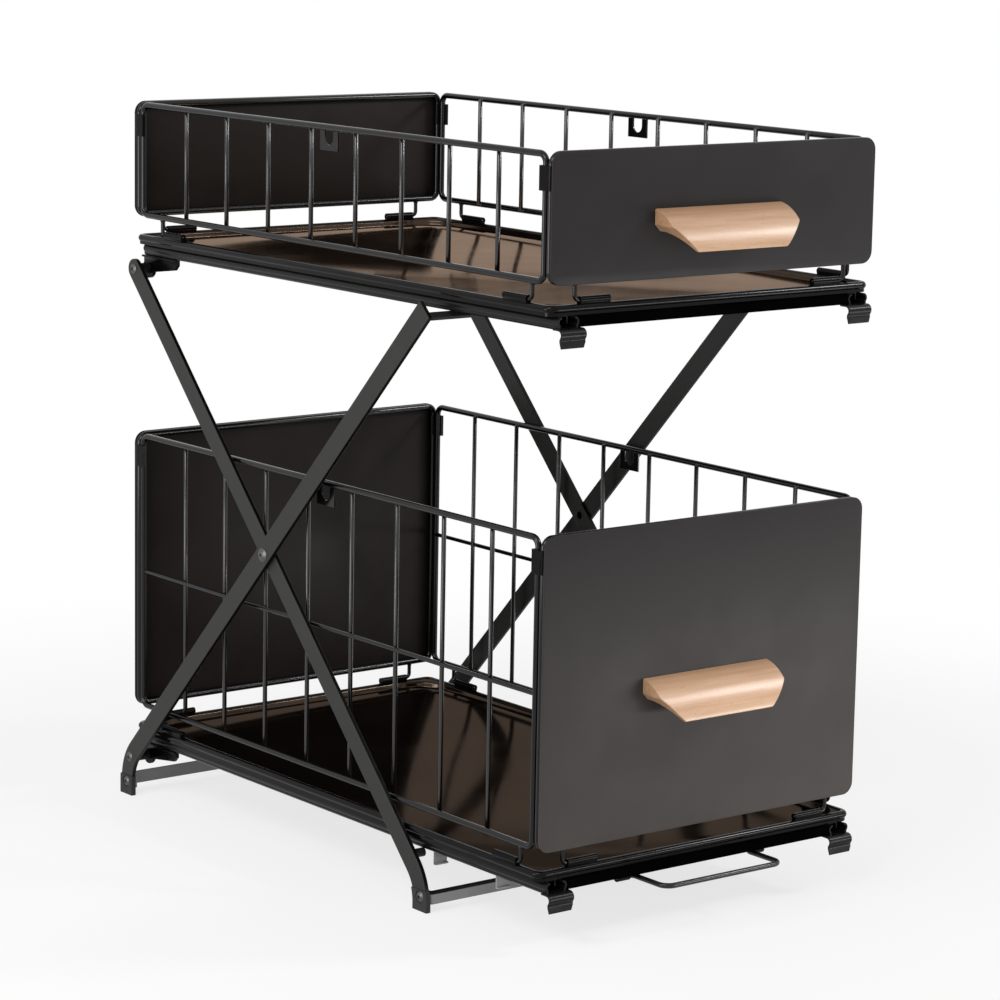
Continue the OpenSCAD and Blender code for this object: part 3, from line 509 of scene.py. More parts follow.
@dataclass
class Shape:
    """A mesh in the making, in millimetres, and the operators that shape it."""

    work: bmesh.types.BMesh = field(default_factory=bmesh.new)

    def point(self, place: Any) -> Vert:
        """Makes a vertex."""
        return bmesh.ops.create_vert(self.work, co=place)["vert"][0]

    def spin(self, geom: list[Any], centre: Any, angle: float, steps: int) -> list[Any]:
        """Sweeps vertices and edges round an upright axis.

        Args:
            geom: The vertices and edges.
            centre: Where the axis is.
            angle: How far to sweep, in radians, counter-clockwise.
            steps: Steps of the sweep.

        Returns:
            The vertices and edges at the far end.
        """
        return bmesh.ops.spin(self.work, geom=geom, cent=centre, axis=(0, 0, 1), dvec=(0, 0, 0), angle=angle,
                              steps=steps, use_merge=False, use_normal_flip=False, use_duplicate=False)["geom_last"]

    def arc(self, start: Vert, centre: Any, angle: float, steps: int) -> Vert:
        """Sweeps a vertex as spin does, and returns the vertex at the far end."""
        return next(g for g in self.spin([start], centre, angle, steps) if isinstance(g, Vert))

    def ring(self, width: float, depth: float, radius: float, height: float, steps: int = 10) -> list[Edge]:
        """Makes a closed rounded rectangle by spinning one vertex round each corner.

        Args:
            width: Size along X.
            depth: Size along Y.
            radius: Corner radius.
            height: Its z.
            steps: Edges in each corner.

        Returns:
            The ring's edges.
        """
        known = set(self.work.edges)
        ends: list[tuple[Vert, Vert]] = []
        for turn, (sx, sy) in enumerate(((1, 1), (-1, 1), (-1, -1), (1, -1))):
            centre = Vector((sx * (width / 2 - radius), sy * (depth / 2 - radius), height))
            first = self.point(centre + Matrix.Rotation(TURN * turn / 4, 3, "Z") @ Vector((radius, 0.0, 0.0)))
            ends.append((first, self.arc(first, centre, TURN / 4, steps)))
        for here, after in zip(ends, ends[1:] + ends[:1]):
            self.work.edges.new((here[1], after[0]))
        return [e for e in self.work.edges if e not in known]

    def fill(self, ring: list[Edge]) -> list[Face]:
        """Closes a ring with one face."""
        return bmesh.ops.contextual_create(self.work, geom=ring)["faces"]

    def stack(self, rings: list[list[Edge]]) -> None:
        """Joins several rings one after the other."""
        for low, high in zip(rings, rings[1:]):
            bmesh.ops.bridge_loops(self.work, edges=low + high)

    def circle(self, place: Matrix, radius: float, count: int = 12) -> list[Edge]:
        """Makes a round section at a place, facing the place's z."""
        made = bmesh.ops.create_circle(self.work, cap_ends=False, segments=count, radius=radius, matrix=place)
        return list({e for v in made["verts"] for e in v.link_edges})

    def slab(self, place: Matrix, width: float, height: float) -> list[Edge]:
        """Makes a rectangular section at a place, facing the place's z.

        Args:
            place: The section's middle.
            width: Size along the place's x.
            height: Size along the place's y.

        Returns:
            The section's edges.
        """
        size = Matrix.Diagonal((width, height, 1.0, 1.0))
        made = bmesh.ops.create_grid(self.work, x_segments=1, y_segments=1, size=0.5, matrix=place @ size)
        edges = list({e for v in made["verts"] for e in v.link_edges})
        bmesh.ops.delete(self.work, geom=list({f for e in edges for f in e.link_faces}), context="FACES_ONLY")
        return edges

    def run(self, end: list[Edge], way: Any) -> list[Edge]:
        """Carries a section straight on.

        Args:
            end: The section's edges.
            way: How far and where to.

        Returns:
            The edges at the new end.
        """
        made = bmesh.ops.extrude_edge_only(self.work, edges=end)["geom"]
        fresh = {g for g in made if isinstance(g, Vert)}
        bmesh.ops.translate(self.work, vec=way, verts=list(fresh))
        return [g for g in made if isinstance(g, Edge) and fresh.issuperset(g.verts)]

    def route(self, end: list[Edge], *legs: tuple[Any, ...]) -> list[Edge]:
        """Carries a section along several legs.

        Args:
            end: The section's edges.
            *legs: The way of each straight leg, and of each bend its centre, how many degrees it turns
                counter-clockwise, and its rings.

        Returns:
            The edges at the last end.
        """
        for leg in legs:
            if isinstance(leg[0], tuple):
                geom = [*end, *{v for e in end for v in e.verts}]
                end = [g for g in self.spin(geom, leg[0], math.radians(leg[1]), leg[2]) if isinstance(g, Edge)]
            else:
                end = self.run(end, leg)
        return end

    def lap(self, end: list[Edge], width: float, depth: float, radius: float, steps: int) -> None:
        """Carries a section once round a rounded rectangle, from the right side's near end.

        Args:
            end: The section's edges, at x = width / 2 and y = radius - depth / 2.
            width: Size of the way along X.
            depth: Size of the way along Y.
            radius: Corner radius of the way.
            steps: Rings in each corner.
        """
        x, y = width / 2 - radius, depth / 2 - radius
        self.route(end, (0, 2 * y, 0), ((x, y, 0), 90, steps), (-2 * x, 0, 0), ((-x, y, 0), 90, steps),
                   (0, -2 * y, 0), ((-x, -y, 0), 90, steps), (2 * x, 0, 0), ((x, -y, 0), 90, steps))

    def bar(self, start: list[Edge], *legs: tuple[Any, ...]) -> list[Face]:
        """Carries a section along several legs, as route does, and closes both ends.

        Args:
            start: The section's edges.
            *legs: The legs.

        Returns:
            The face at the last end.
        """
        end = self.route(start, *legs)
        self.fill(start)
        return self.fill(end)

    def cap(self, end: list[Edge], way: Point, keep: float = 0.6) -> None:
        """Closes a section's open end with a rounded tip.

        Args:
            end: The section's edges.
            way: Where the tip points, and how far.
            keep: Size of the flat in the middle, as a share of the section.
        """
        tip = self.run(end, way)
        verts = list({v for e in tip for v in e.verts})
        middle = sum((v.co for v in verts), Vector()) / len(verts)
        bmesh.ops.scale(self.work, vec=(keep, keep, keep), space=Matrix.Translation(-middle), verts=verts)
        self.fill(tip)

    def cut(self, place: Point, facing: Point, clear: bool = False) -> list[Edge]:
        """Cuts everything made so far along a plane.

        Args:
            place: A point of the plane.
            facing: Its normal.
            clear: Whether what lies beyond the plane goes.

        Returns:
            The edges along the cut.
        """
        geom = [*self.work.verts, *self.work.edges, *self.work.faces]
        made = bmesh.ops.bisect_plane(self.work, geom=geom, plane_co=place, plane_no=facing, clear_outer=clear)
        return [g for g in made["geom_cut"] if isinstance(g, Edge)]

    def blob(self, place: Point, radius: float) -> None:
        """Adds a small weld bead."""
        size = Matrix.Diagonal((radius, radius, radius, 1.0))
        bmesh.ops.create_icosphere(self.work, subdivisions=2, radius=1.0, matrix=shift(*place) @ size)

    def paint(self, index: int, chosen: Callable[[Face], bool]) -> None:
        """Gives some faces another finish.

        Args:
            index: The finish's place among those that Piece.make is given.
            chosen: Says of a face whether it gets that finish.
        """
        self.work.normal_update()
        for face in self.work.faces:
            if chosen(face):
                face.material_index = index

    def turned(self, place: Matrix) -> None:
        """Moves everything made so far."""
        bmesh.ops.transform(self.work, matrix=place, verts=self.work.verts)


def linked(work: bmesh.types.BMesh, name: str) -> bpy.types.Object:
    """Turns a bmesh into an object of the scene.

    Args:
        work: The bmesh, which is freed.
        name: The name of the object and of its mesh.

    Returns:
        The object.
    """
    mesh = bpy.data.meshes.new(name)
    work.to_mesh(mesh)
    work.free()
    obj = bpy.data.objects.new(name, mesh)
    bpy.context.collection.objects.link(obj)
    return obj


def body_of(frame: Frame, node: str) -> str:
    """Names the body that a CAD node belongs to."""
    return next(b for b, names in frame["record"]["behaviour"]["bodies"].items() if node in names)


@dataclass
class Piece:
    frame: Frame

    def make(self, shape: Shape, node: str, finishes: tuple[Finish, ...], smooth: float, bevel: float = 0.0) -> None:
        """Closes a drawing's seams, turns its faces outward, makes the object in metres and dresses it.

        Args:
            shape: The drawing.
            node: The CAD node that the piece stands for.
            finishes: The finish of each material index.
            smooth: See dress.
            bevel: See dress.
        """
        work = shape.work
        bmesh.ops.remove_doubles(work, verts=work.verts, dist=0.005)
        bmesh.ops.recalc_face_normals(work, faces=work.faces)
        bmesh.ops.scale(work, vec=(MM, MM, MM), verts=work.verts)
        self.dress(linked(work, node + "_look"), node, finishes, smooth, bevel)

    def dress(self, obj: bpy.types.Object, node: str, finishes: tuple[Finish, ...], smooth: float,
              bevel: float) -> None:
        """Gives a piece its finishes and rounded edges, and lets it stand for its CAD node.

        Args:
            obj: The piece.
            node: The CAD node.
            finishes: The finish of each material index.
            smooth: Edges flatter than this many degrees are shaded smooth.
            bevel: Width of the rounding on sharp edges, in millimetres.
        """
        for finish in finishes:
            obj.data.materials.append(finish.material())
        obj.data.shade_smooth()
        obj.data.set_sharp_from_angle(angle=math.radians(smooth))
        if bevel > 0.0:
            rounding = obj.modifiers.new("rounding", "BEVEL")
            rounding.width = bevel * MM
            rounding.segments = 2
            rounding.limit_method = "ANGLE"
            rounding.angle_limit = math.radians(smooth)
        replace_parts(obj, node)
        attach(obj, body_of(self.frame, node))
        LOG.info("%s: %d faces", node, len(obj.data.polygons))


@dataclass
class CadPiece(Piece):
    """A piece whose form is exact in the CAD: a merged copy with rounded edges and a finish.

    Vertices closer than merge join, and so do faces that meet at under flat degrees. Piece.dress has bevel and smooth.
    """

    node: str
    finish: Finish
    bevel: float = 0.15
    smooth: float = 30.0
    merge: float = 0.002
    flat: float = 0.5

    def copied(self) -> bpy.types.Object:
        """Makes the merged copy.

        Returns:
            The copy.
        """
        work = bmesh.new()
        work.from_mesh(self.frame["nodes"][self.node].data)
        bmesh.ops.remove_doubles(work, verts=work.verts, dist=self.merge * MM)
        bmesh.ops.dissolve_limit(work, angle_limit=math.radians(self.flat), verts=work.verts, edges=work.edges)
        return linked(work, self.node + "_look")

    def build(self) -> None:
        """Makes the piece and dresses it."""
        self.dress(self.copied(), self.node, (self.finish,), self.smooth, self.bevel)


@dataclass
class RivetSet(CadPiece):
    """Rivets whose heads have the dimple painted dark, a painted shade in the hollow. head is the heads' thickness,
    and dimple the dimple's radius.
    """

    head: float = 1.4
    dimple: float = 1.1

    def build(self) -> None:
        """Makes the rivets: only the heads have the finish, apart from their dimples, which get the painted shade."""
        obj = self.copied()
        low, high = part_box(self.node)
        mid = (Vector(low) + Vector(high)) / 2
        for face in obj.data.polygons:
            off = math.hypot(face.center.y - mid.y, face.center.z - mid.z)
            head = abs(face.center.x) > high[0] - self.head * MM
            # Faces off the heads and inside the dimple get the dark painted shade.
            face.material_index = 0 if head and off > self.dimple * MM else 1
        self.dress(obj, self.node, (self.finish, DIMPLE_SHADE), self.smooth, self.bevel)


@dataclass
class Rail(CadPiece):
    """A slide rail whose catches, which hang below its section and behind its hook, are painted pale: painted light.
    """

    section: float = 7.0
    hook: float = 20.0

    def build(self) -> None:
        """Makes the rail and gives its catches the pale painted light."""
        obj = self.copied()
        low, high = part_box(self.node)
        for face in obj.data.polygons:
            catch = face.center.z < high[2] - self.section * MM and face.center.y > low[1] + self.hook * MM
            face.material_index = 1 if catch else 0
        self.dress(obj, self.node, (self.finish, CROSSBAR_LIT_GREY), self.smooth, self.bevel)


# ---------------------------------------------------------------- baskets


@dataclass
class Basket:
    """One pull-out basket: where its tray is, and the sizes that its pieces share.

    The panels stand lift over the rim. A wire foot has a rounded tip, and a weld bead of weld times its radius that
    sits sunk wire radii below the rim wire's middle.
    """

    tier: Tier
    top: float
    middle: float
    height: float
    width: float = 225.0
    depth: float = 400.0
    lift: float = 10.0
    pin: float = 1.8
    wire: float = 2.0
    foot_wire: float = 1.2
    foot_bend: float = 2.5
    foot_length: float = 22.5
    tip: float = 0.5
    weld: float = 1.3
    sunk: float = 0.9

    @staticmethod
    def read(tier: Tier) -> Basket:
        """Reads the basket's place and height from the CAD boxes of its tray and front sheet.

        Args:
            tier: Which basket it is.

        Returns:
            The basket.
        """
        low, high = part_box(tier.value + "_tray")
        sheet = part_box(tier.value + "_front_sheet")
        return Basket(tier, high[2] / MM, (low[1] + high[1]) / 2 / MM, (sheet[1][2] - sheet[0][2]) / MM)

    @property
    def level(self) -> float:
        """Height of the panels' middle over the rim."""
        return self.lift + self.height / 2

    def place(self, turn: Matrix, y: float = 0.0) -> Matrix:
        """Puts a drawing that counts from the middle of the tray's rim in its place."""
        return shift(0.0, self.middle + y, self.top) @ turn

    def foot(self, shape: Shape, x: float, start: float, way: int) -> None:
        """Adds a wire foot that comes down from a rim wire and turns along the tray's edge.

        Args:
            shape: The drawing, with y up from the tray's rim.
            x: Where the foot comes down.
            start: Height of the wire it is welded to.
            way: Direction along x that the foot turns to.
        """
        bend = self.foot_bend
        end = shape.circle(shift(x, start) @ UPRIGHT, self.foot_wire)
        end = shape.route(end, (0, self.pin + bend - start, 0), ((x + way * bend, self.pin + bend, 0), 90 * way, 5),
                          (way * (self.foot_length - bend - self.tip), 0, 0))
        shape.cap(end, (way * self.tip, 0, 0))
        shape.blob((x, start - self.wire * self.sunk, 0), self.foot_wire * self.weld)


@dataclass
class Tray(Piece):
    """The pressed tray: a recess with round corners, a web round it, a rolled bead and a folded skirt.

    shoulder and toe are the rings that round the recess at the web and at the floor: how far in each is, how far it
    is below the web or above the floor, and how much its corner radius is under recess.
    """

    basket: Basket
    floor: Finish
    bead: float = 4.4
    corner: float = 4.0
    recess: float = 25.0
    web: float = 1.0
    drop: float = 4.3
    sheet: float = 1.0
    skirt_in: float = 0.9
    skirt_low: float = 0.5
    shoulder: tuple[Point, ...] = ((0.0, 0.0, 0.0), (0.5, 0.2, 0.25), (1.0, 0.9, 0.5))
    toe: tuple[Point, ...] = ((1.3, 0.9, 0.7), (1.9, 0.25, 1.0), (3.0, 0.0, 1.6))

    def pan(self, shape: Shape, wide: float, deep: float) -> None:
        """Shapes the web, the recess and the floor, as sheet with an underside.

        Args:
            shape: The drawing.
            wide: Width between the middles of the bead.
            deep: Depth between them.
        """
        profile = [(0.0, -self.web, self.corner)]
        profile += [(self.bead + inset, -self.web - down, self.recess - less) for inset, down, less in self.shoulder]
        profile += [(self.bead + inset, -self.drop + up, self.recess - less) for inset, up, less in self.toe]
        tops = [shape.ring(wide - inset, deep - inset, radius, z) for inset, z, radius in profile]
        shape.stack(tops)
        shape.fill(tops[-1])
        under = shape.ring(wide, deep, self.recess, -self.drop - self.sheet)
        shape.fill(under)
        shape.stack([under, tops[0]])

    def build(self) -> None:
        """Makes the tray: its floor has a brown painted reflection, the web round it a weaker one as painted shade,
        and the rim is black.
        """
        wide, deep = self.basket.width - self.bead, self.basket.depth - self.bead
        shape = Shape()
        self.pan(shape, wide, deep)
        # All faces first get the web's weak painted reflection, then the floor faces get the floor's.
        shape.paint(2, lambda face: True)
        shape.paint(1, lambda face: abs(face.calc_center_median().z + self.drop) < 0.1)
        near, mid = self.corner - deep / 2, -self.bead / 2
        shape.lap(shape.circle(shift(wide / 2, near, mid) @ UPRIGHT, self.bead / 2, 16), wide, deep, self.corner, 8)
        out = self.bead / 2 - self.skirt_in - self.sheet / 2
        tall = self.drop + self.sheet + self.skirt_low - self.bead / 2
        skirt = shape.slab(shift(wide / 2 + out, near, mid - tall / 2) @ UPRIGHT, self.sheet, tall)
        shape.lap(skirt, wide + 2 * out, deep + 2 * out, self.corner + out, 8)
        shape.turned(self.basket.place(Matrix.Identity(4)))
        self.make(shape, self.basket.tier.value + "_tray", (BEAD_BLACK, self.floor, TRAY_WEB_SHADED_GLOSS), 40.0)


@dataclass
class Panel(Piece):
    """A front or back panel: a sheet with rolled edges on a frame of round wire with two feet."""

    basket: Basket
    end: End
    finish: Finish
    corner: float = 7.0
    sheet: float = 1.0
    roll: float = 0.35
    foot_in: float = 18.5

    def sheet_piece(self) -> None:
        """Makes the sheet from rings that round its edge."""
        b, roll = self.basket, self.roll
        shape = Shape()
        edge = ((2 * roll, 0.0), (0.6 * roll, 0.3 * roll), (0.0, roll))
        profile = [*edge, *((inset, self.sheet - z) for inset, z in reversed(edge))]
        rings = [shape.ring(b.width - inset, b.height - inset, self.corner - inset / 2, z) for inset, z in profile]
        shape.stack(rings)
        shape.fill(rings[0])
        shape.fill(rings[-1])
        y = b.depth / 2 if self.end is End.BACK else self.sheet - b.depth / 2
        shape.turned(b.place(shift(0.0, y, b.level) @ UPRIGHT))
        self.make(shape, f"{b.tier.value}_{self.end.value}_sheet", (self.finish,), 50.0)

    def frame_piece(self) -> None:
        """Makes the wire frame and its feet."""
        b = self.basket
        shape = Shape()
        radius = self.corner - b.wire
        wide, high = b.width - 2 * b.wire, b.height - 2 * b.wire
        start = shape.circle(shift(wide / 2, radius - high / 2) @ UPRIGHT, b.wire, 16)
        shape.lap(start, wide, high, radius, 7)
        shape.turned(shift(y=b.level))
        for side in Side:
            b.foot(shape, side.sign * (b.width / 2 - self.foot_in), b.lift + b.wire, -side.sign)
        shape.turned(b.place(UPRIGHT, self.end.sign * (b.depth / 2 - self.sheet - b.wire)))
        self.make(shape, f"{b.tier.value}_{self.end.value}_frame", (WIRE_BLACK,), 55.0)

    def build(self) -> None:
        """Makes both pieces."""
        self.sheet_piece()
        self.frame_piece()


@dataclass
class Grille(Piece):
    """A side grille: rim wire with two feet, upright wires welded inside it, and a middle wire on the lower basket.

    weld is how deep an upright wire sits in the rim wire, and tip the length of its rounded ends. bead_out, bead and
    middle_bead are the place and the sizes of the weld beads, as shares of the upright wire's radius.
    """

    basket: Basket
    side: Side
    middle_wire: bool
    rim: float = 1.8
    bar: float = 1.3
    bars: int = 8
    corner: float = 5.0
    length: float = 388.4
    weld: float = 0.4
    tip: float = 0.4
    bead_out: float = 0.8
    bead: float = 0.62
    middle_bead: float = 0.55
    foot_front: float = 11.5
    foot_rear: float = 23.0

    def bar_at(self, shape: Shape, x: float) -> None:
        """Adds one upright wire with rounded ends and weld beads at each crossing.

        Args:
            shape: The drawing.
            x: Where the wire stands.
        """
        b = self.basket
        low, high, z = b.lift + self.rim, b.lift + b.height - self.rim, self.weld - self.rim - self.bar
        end = shape.circle(shift(x, low + self.tip, z) @ UPRIGHT, self.bar, 10)
        shape.cap(end, (0, -self.tip, 0))
        shape.cap(shape.run(end, (0, high - low - 2 * self.tip, 0)), (0, self.tip, 0))
        crossings = [(low, self.bead), (high, self.bead)]
        if self.middle_wire:
            crossings.append((b.level, self.middle_bead))
        for y, size in crossings:
            for step in (-self.bead_out, self.bead_out):
                shape.blob((x + step * self.bar, y, z + self.bar), self.bar * size)

    def build(self) -> None:
        """Makes the grille."""
        b = self.basket
        shape = Shape()
        wide, high = self.length - 2 * self.rim, b.height - 2 * self.rim
        start = shape.circle(shift(wide / 2, self.corner - high / 2) @ UPRIGHT, self.rim, 14)
        shape.lap(start, wide, high, self.corner, 7)
        shape.turned(shift(y=b.level))
        pitch = wide / (self.bars + 1)
        known = set(shape.work.faces)
        for index in range(self.bars):
            self.bar_at(shape, (index - (self.bars - 1) / 2) * pitch)
        # The upright wires get the lit copy of the wire lacquer: a painted highlight.
        shape.paint(1, lambda face: face not in known)
        if self.middle_wire:
            start = shape.circle(shift(-wide / 2, b.level, self.bar - self.rim) @ EASTWARD, self.bar, 10)
            shape.run(start, (wide, 0, 0))
        b.foot(shape, self.foot_front - self.length / 2, b.lift + self.rim, 1)
        b.foot(shape, self.length / 2 - self.foot_rear, b.lift + self.rim, -1)
        flip = Matrix.Diagonal((self.side.sign, 1.0, 1.0, 1.0))
        shape.turned(b.place(flip @ shift(b.width / 2 - self.rim) @ SIDEWAYS))
        self.make(shape, f"{b.tier.value}_{self.side.value}_grille", (WIRE_BLACK, UPRIGHT_LIT_BLACK), 55.0)


@dataclass
class Handle(Piece):
    """A wooden handle: a crowned front, a thin lip, a hollow grip underneath and cut lower corners."""

    basket: Basket
    reach: float = 21.0
    tall: float = 21.5
    back: float = 12.0
    lip: float = 2.2
    lip_face: float = 1.5
    foot: float = 3.0
    crown: float = 4.7
    hollow: float = 2.4
    chamfer: float = 13.0
    edge: float = 0.7

    @staticmethod
    def sag(shape: Shape, start: Vert, to: tuple[float, float], height: float, steps: int) -> Vert:
        """Sweeps a vertex along the arc to another point.

        Args:
            shape: The drawing.
            start: The vertex at the arc's start.
            to: The arc's end.
            height: How far the arc stands out to the left of its way, or to the right if it is negative.
            steps: Edges in the arc.

        Returns:
            The vertex at the arc's end.
        """
        here, there = start.co.xy, Vector(to)
        chord = (there - here).length
        radius = (chord * chord / 4 + height * height) / (2 * height)
        left = Vector((here.y - there.y, there.x - here.x)) / chord
        centre = (here + there) / 2 - left * (radius - height)
        return shape.arc(start, (*centre, 0.0), -2 * math.asin(chord / 2 / radius), steps)

    def section(self, shape: Shape) -> list[Edge]:
        """Draws the section, x forward from the sheet and y up from the handle's top.

        Args:
            shape: The drawing.

        Returns:
            The section's edges.
        """
        first = shape.point((0.0, 0.0, 0.0))
        nose = self.sag(shape, first, (self.reach, self.lip_face - self.tall), self.crown, 20)
        under = shape.point((self.reach, -self.tall, 0.0))
        grip = shape.point((self.reach - self.lip, -self.tall, 0.0))
        heel = self.sag(shape, grip, (self.foot, -self.back), -self.hollow, 12)
        root = shape.point((0.0, -self.back, 0.0))
        for pair in ((nose, under), (under, grip), (heel, root), (root, first)):
            shape.work.edges.new(pair)
        return list(shape.work.edges)

    def build(self) -> None:
        """Makes the handle between the ends of its CAD box, and cuts its lower corners."""
        node = self.basket.tier.value + "_handle"
        low, high = box_mm(node)
        shape = Shape()
        shape.bar(self.section(shape), (0.0, 0.0, high.x - low.x))
        shape.turned(shift(low.x, high.y, high.z) @ FORWARD)
        for side, edge in ((Side.LEFT, low.x), (Side.RIGHT, high.x)):
            shape.fill(shape.cut((edge, 0.0, low.z + self.chamfer), (side.sign, 0.0, -1.0), clear=True))
        self.make(shape, node, (WOOD,), 28.0, self.edge)


# ---------------------------------------------------------------- legs and stand


@dataclass
class Leg(Piece):
    """A flat leg bar with a bent foot.

    At the height mark, the middle of the bar is out_rear or out_front from the middle of its foot.
    """

    node: str
    rear: bool
    width: float = 12.0
    thick: float = 2.5
    bend: float = 30.0
    sole: float = 1.5
    lean: float = 46.17
    mark: float = 24.0
    out_rear: float = 3.5
    out_front: float = 8.0
    edge: float = 0.3

    def build(self) -> None:
        """Makes the bar inside its CAD box: up from the foot, round the bend, and straight on to its tip."""
        low, high = box_mm(self.node)
        way, half, lean, turn = -1 if self.rear else 1, self.width / 2, math.radians(self.lean), 90.0 - self.lean
        foot = (high.y if self.rear else low.y) + way * half
        tangent = self.bend * math.tan(math.radians(turn / 2))
        up = self.mark - (self.out_rear if self.rear else self.out_front) * math.tan(lean) - tangent
        span = high.y - low.y - half
        span -= half * math.sin(lean) if self.rear else half
        length = span / math.cos(lean) - tangent + (0.0 if self.rear else half)
        shape = Shape()
        start = shape.slab(shift(0.0, self.sole, self.thick / 2) @ UPRIGHT, self.width, self.thick)
        tip = shape.bar(start, (0, up - self.sole, 0), ((-self.bend, up, 0), turn, 12),
                        (-length * math.cos(lean), length * math.sin(lean), 0))
        if not self.rear:
            rim = [e for e in tip[0].edges if abs(e.verts[0].co.z - e.verts[1].co.z) > 1.0]
            bmesh.ops.bevel(shape.work, geom=rim, offset=half - 0.02, offset_type="OFFSET", segments=10, profile=0.5,
                            affect="EDGES", material=-1)
        shape.turned(shift(low.x, foot) @ SIDEWAYS @ Matrix.Diagonal((-way, 1.0, 1.0, 1.0)))
        # The narrow side faces get the near-black painted shade.
        shape.paint(1, lambda face: abs(face.normal.x) < 0.5)
        self.make(shape, self.node, (LEG_GREY, EDGE_SHADE_BLACK), 30.0, self.edge)


@dataclass
class Member(Piece):
    """A rack's cross member: a folded strip with a flange underneath and a hemmed lip under the tray."""

    node: str
    rear: bool
    sheet: float = 1.2
    bend: float = 0.8
    lip: float = 4.0
    edge: float = 0.2

    def build(self) -> None:
        """Makes the strip from its CAD box: flange, bend, web, bend, lip."""
        low, high = box_mm(self.node)
        deep, tall, half = high.y - low.y, high.z - low.z, self.sheet / 2
        near = half + self.bend
        shape = Shape()
        start = shape.slab(shift(deep, half, (low.x + high.x) / 2) @ EASTWARD, high.x - low.x, self.sheet)
        shape.bar(start, (near - deep, 0, 0), ((near, near, 0), -90, 5), (0, tall - 2 * near, 0),
                  ((near, tall - near, 0), -90, 5), (self.lip, 0, 0))
        flip = Matrix.Diagonal((-1.0 if self.rear else 1.0, 1.0, 1.0, 1.0))
        shape.turned(shift(0.0, high.y if self.rear else low.y, low.z) @ SIDEWAYS @ flip)
        # The member gets the shaded copy of the rack coat: painted shade.
        self.make(shape, self.node, (MEMBER_SHADED_BLACK,), 30.0, self.edge)


@dataclass
class FootCrossbar(Piece):
    """A flat bar between two feet, its ends bent round into tabs. Its tops, and on the front one an upper strip, are
    painted near-black: painted shade.
    """

    node: str
    rear: bool
    thick: float = 2.0
    bend: float = 1.7
    shade: float = 1.8
    edge: float = 0.25

    def build(self) -> None:
        """Makes the strip inside its CAD box: tab, bend, bar, bend, tab."""
        low, high = box_mm(self.node)
        half = self.thick / 2
        x, y = high.x - half - self.bend, high.y - low.y - half - self.bend
        shape = Shape()
        start = shape.slab(shift(high.x - half) @ UPRIGHT, self.thick, high.z - low.z)
        shape.bar(start, (0, y, 0), ((x, y, 0), 90, 6), (-2 * x, 0, 0), ((-x, y, 0), 90, 6), (0, -y, 0))
        flip = Matrix.Diagonal((1.0, 1.0 if self.rear else -1.0, 1.0, 1.0))
        shape.turned(shift(0.0, low.y if self.rear else high.y, (low.z + high.z) / 2) @ flip)
        strip = high.z - (0.0 if self.rear else self.shade)
        if not self.rear:
            shape.cut((0.0, 0.0, strip), (0.0, 0.0, 1.0))
        # The tops, and the front bar's upper strip, get the near-black painted shade.
        shape.paint(1, lambda face: abs(face.normal.z) > 0.5 or face.calc_center_median().z > strip)
        self.make(shape, self.node, (CROSSBAR_LIT_GREY, EDGE_SHADE_BLACK), 30.0, self.edge)


@dataclass
class Stand(Piece):
    """The swing-down stand: one bent wire with two turned-out ends. flat is the flat share of a rounded tip."""

    node: str = "swing_stand"
    wire: float = 1.5
    corner: float = 6.0
    bend: float = 3.0
    tail: float = 11.0
    tip: float = 0.4
    flat: float = 0.7

    def build(self) -> None:
        """Makes the wire inside its CAD box, folded up toward the front."""
        low, high = box_mm(self.node)
        outer, inner = high.x - self.tail + self.bend, high.x - self.tail - self.corner
        far = self.corner - (high.y - low.y - 2 * self.wire)
        tail = outer - high.x + self.tip
        shape = Shape()
        start = shape.circle(shift(high.x - self.tip) @ EASTWARD, self.wire, 14)
        shape.cap(start, (self.tip, 0, 0), self.flat)
        end = shape.route(start, (tail, 0, 0), ((outer, -self.bend, 0), 90, 6), (0, far + self.bend, 0),
                          ((inner, far, 0), -90, 8), (-2 * inner, 0, 0), ((-inner, far, 0), -90, 8),
                          (0, -far - self.bend, 0), ((-outer, -self.bend, 0), 90, 6), (tail, 0, 0))
        shape.cap(end, (-self.tip, 0, 0), self.flat)
        shape.turned(shift(0.0, high.y - self.wire, (low.z + high.z) / 2))
        self.make(shape, self.node, (STAND_GREY,), 55.0)


# ---------------------------------------------------------------- stage


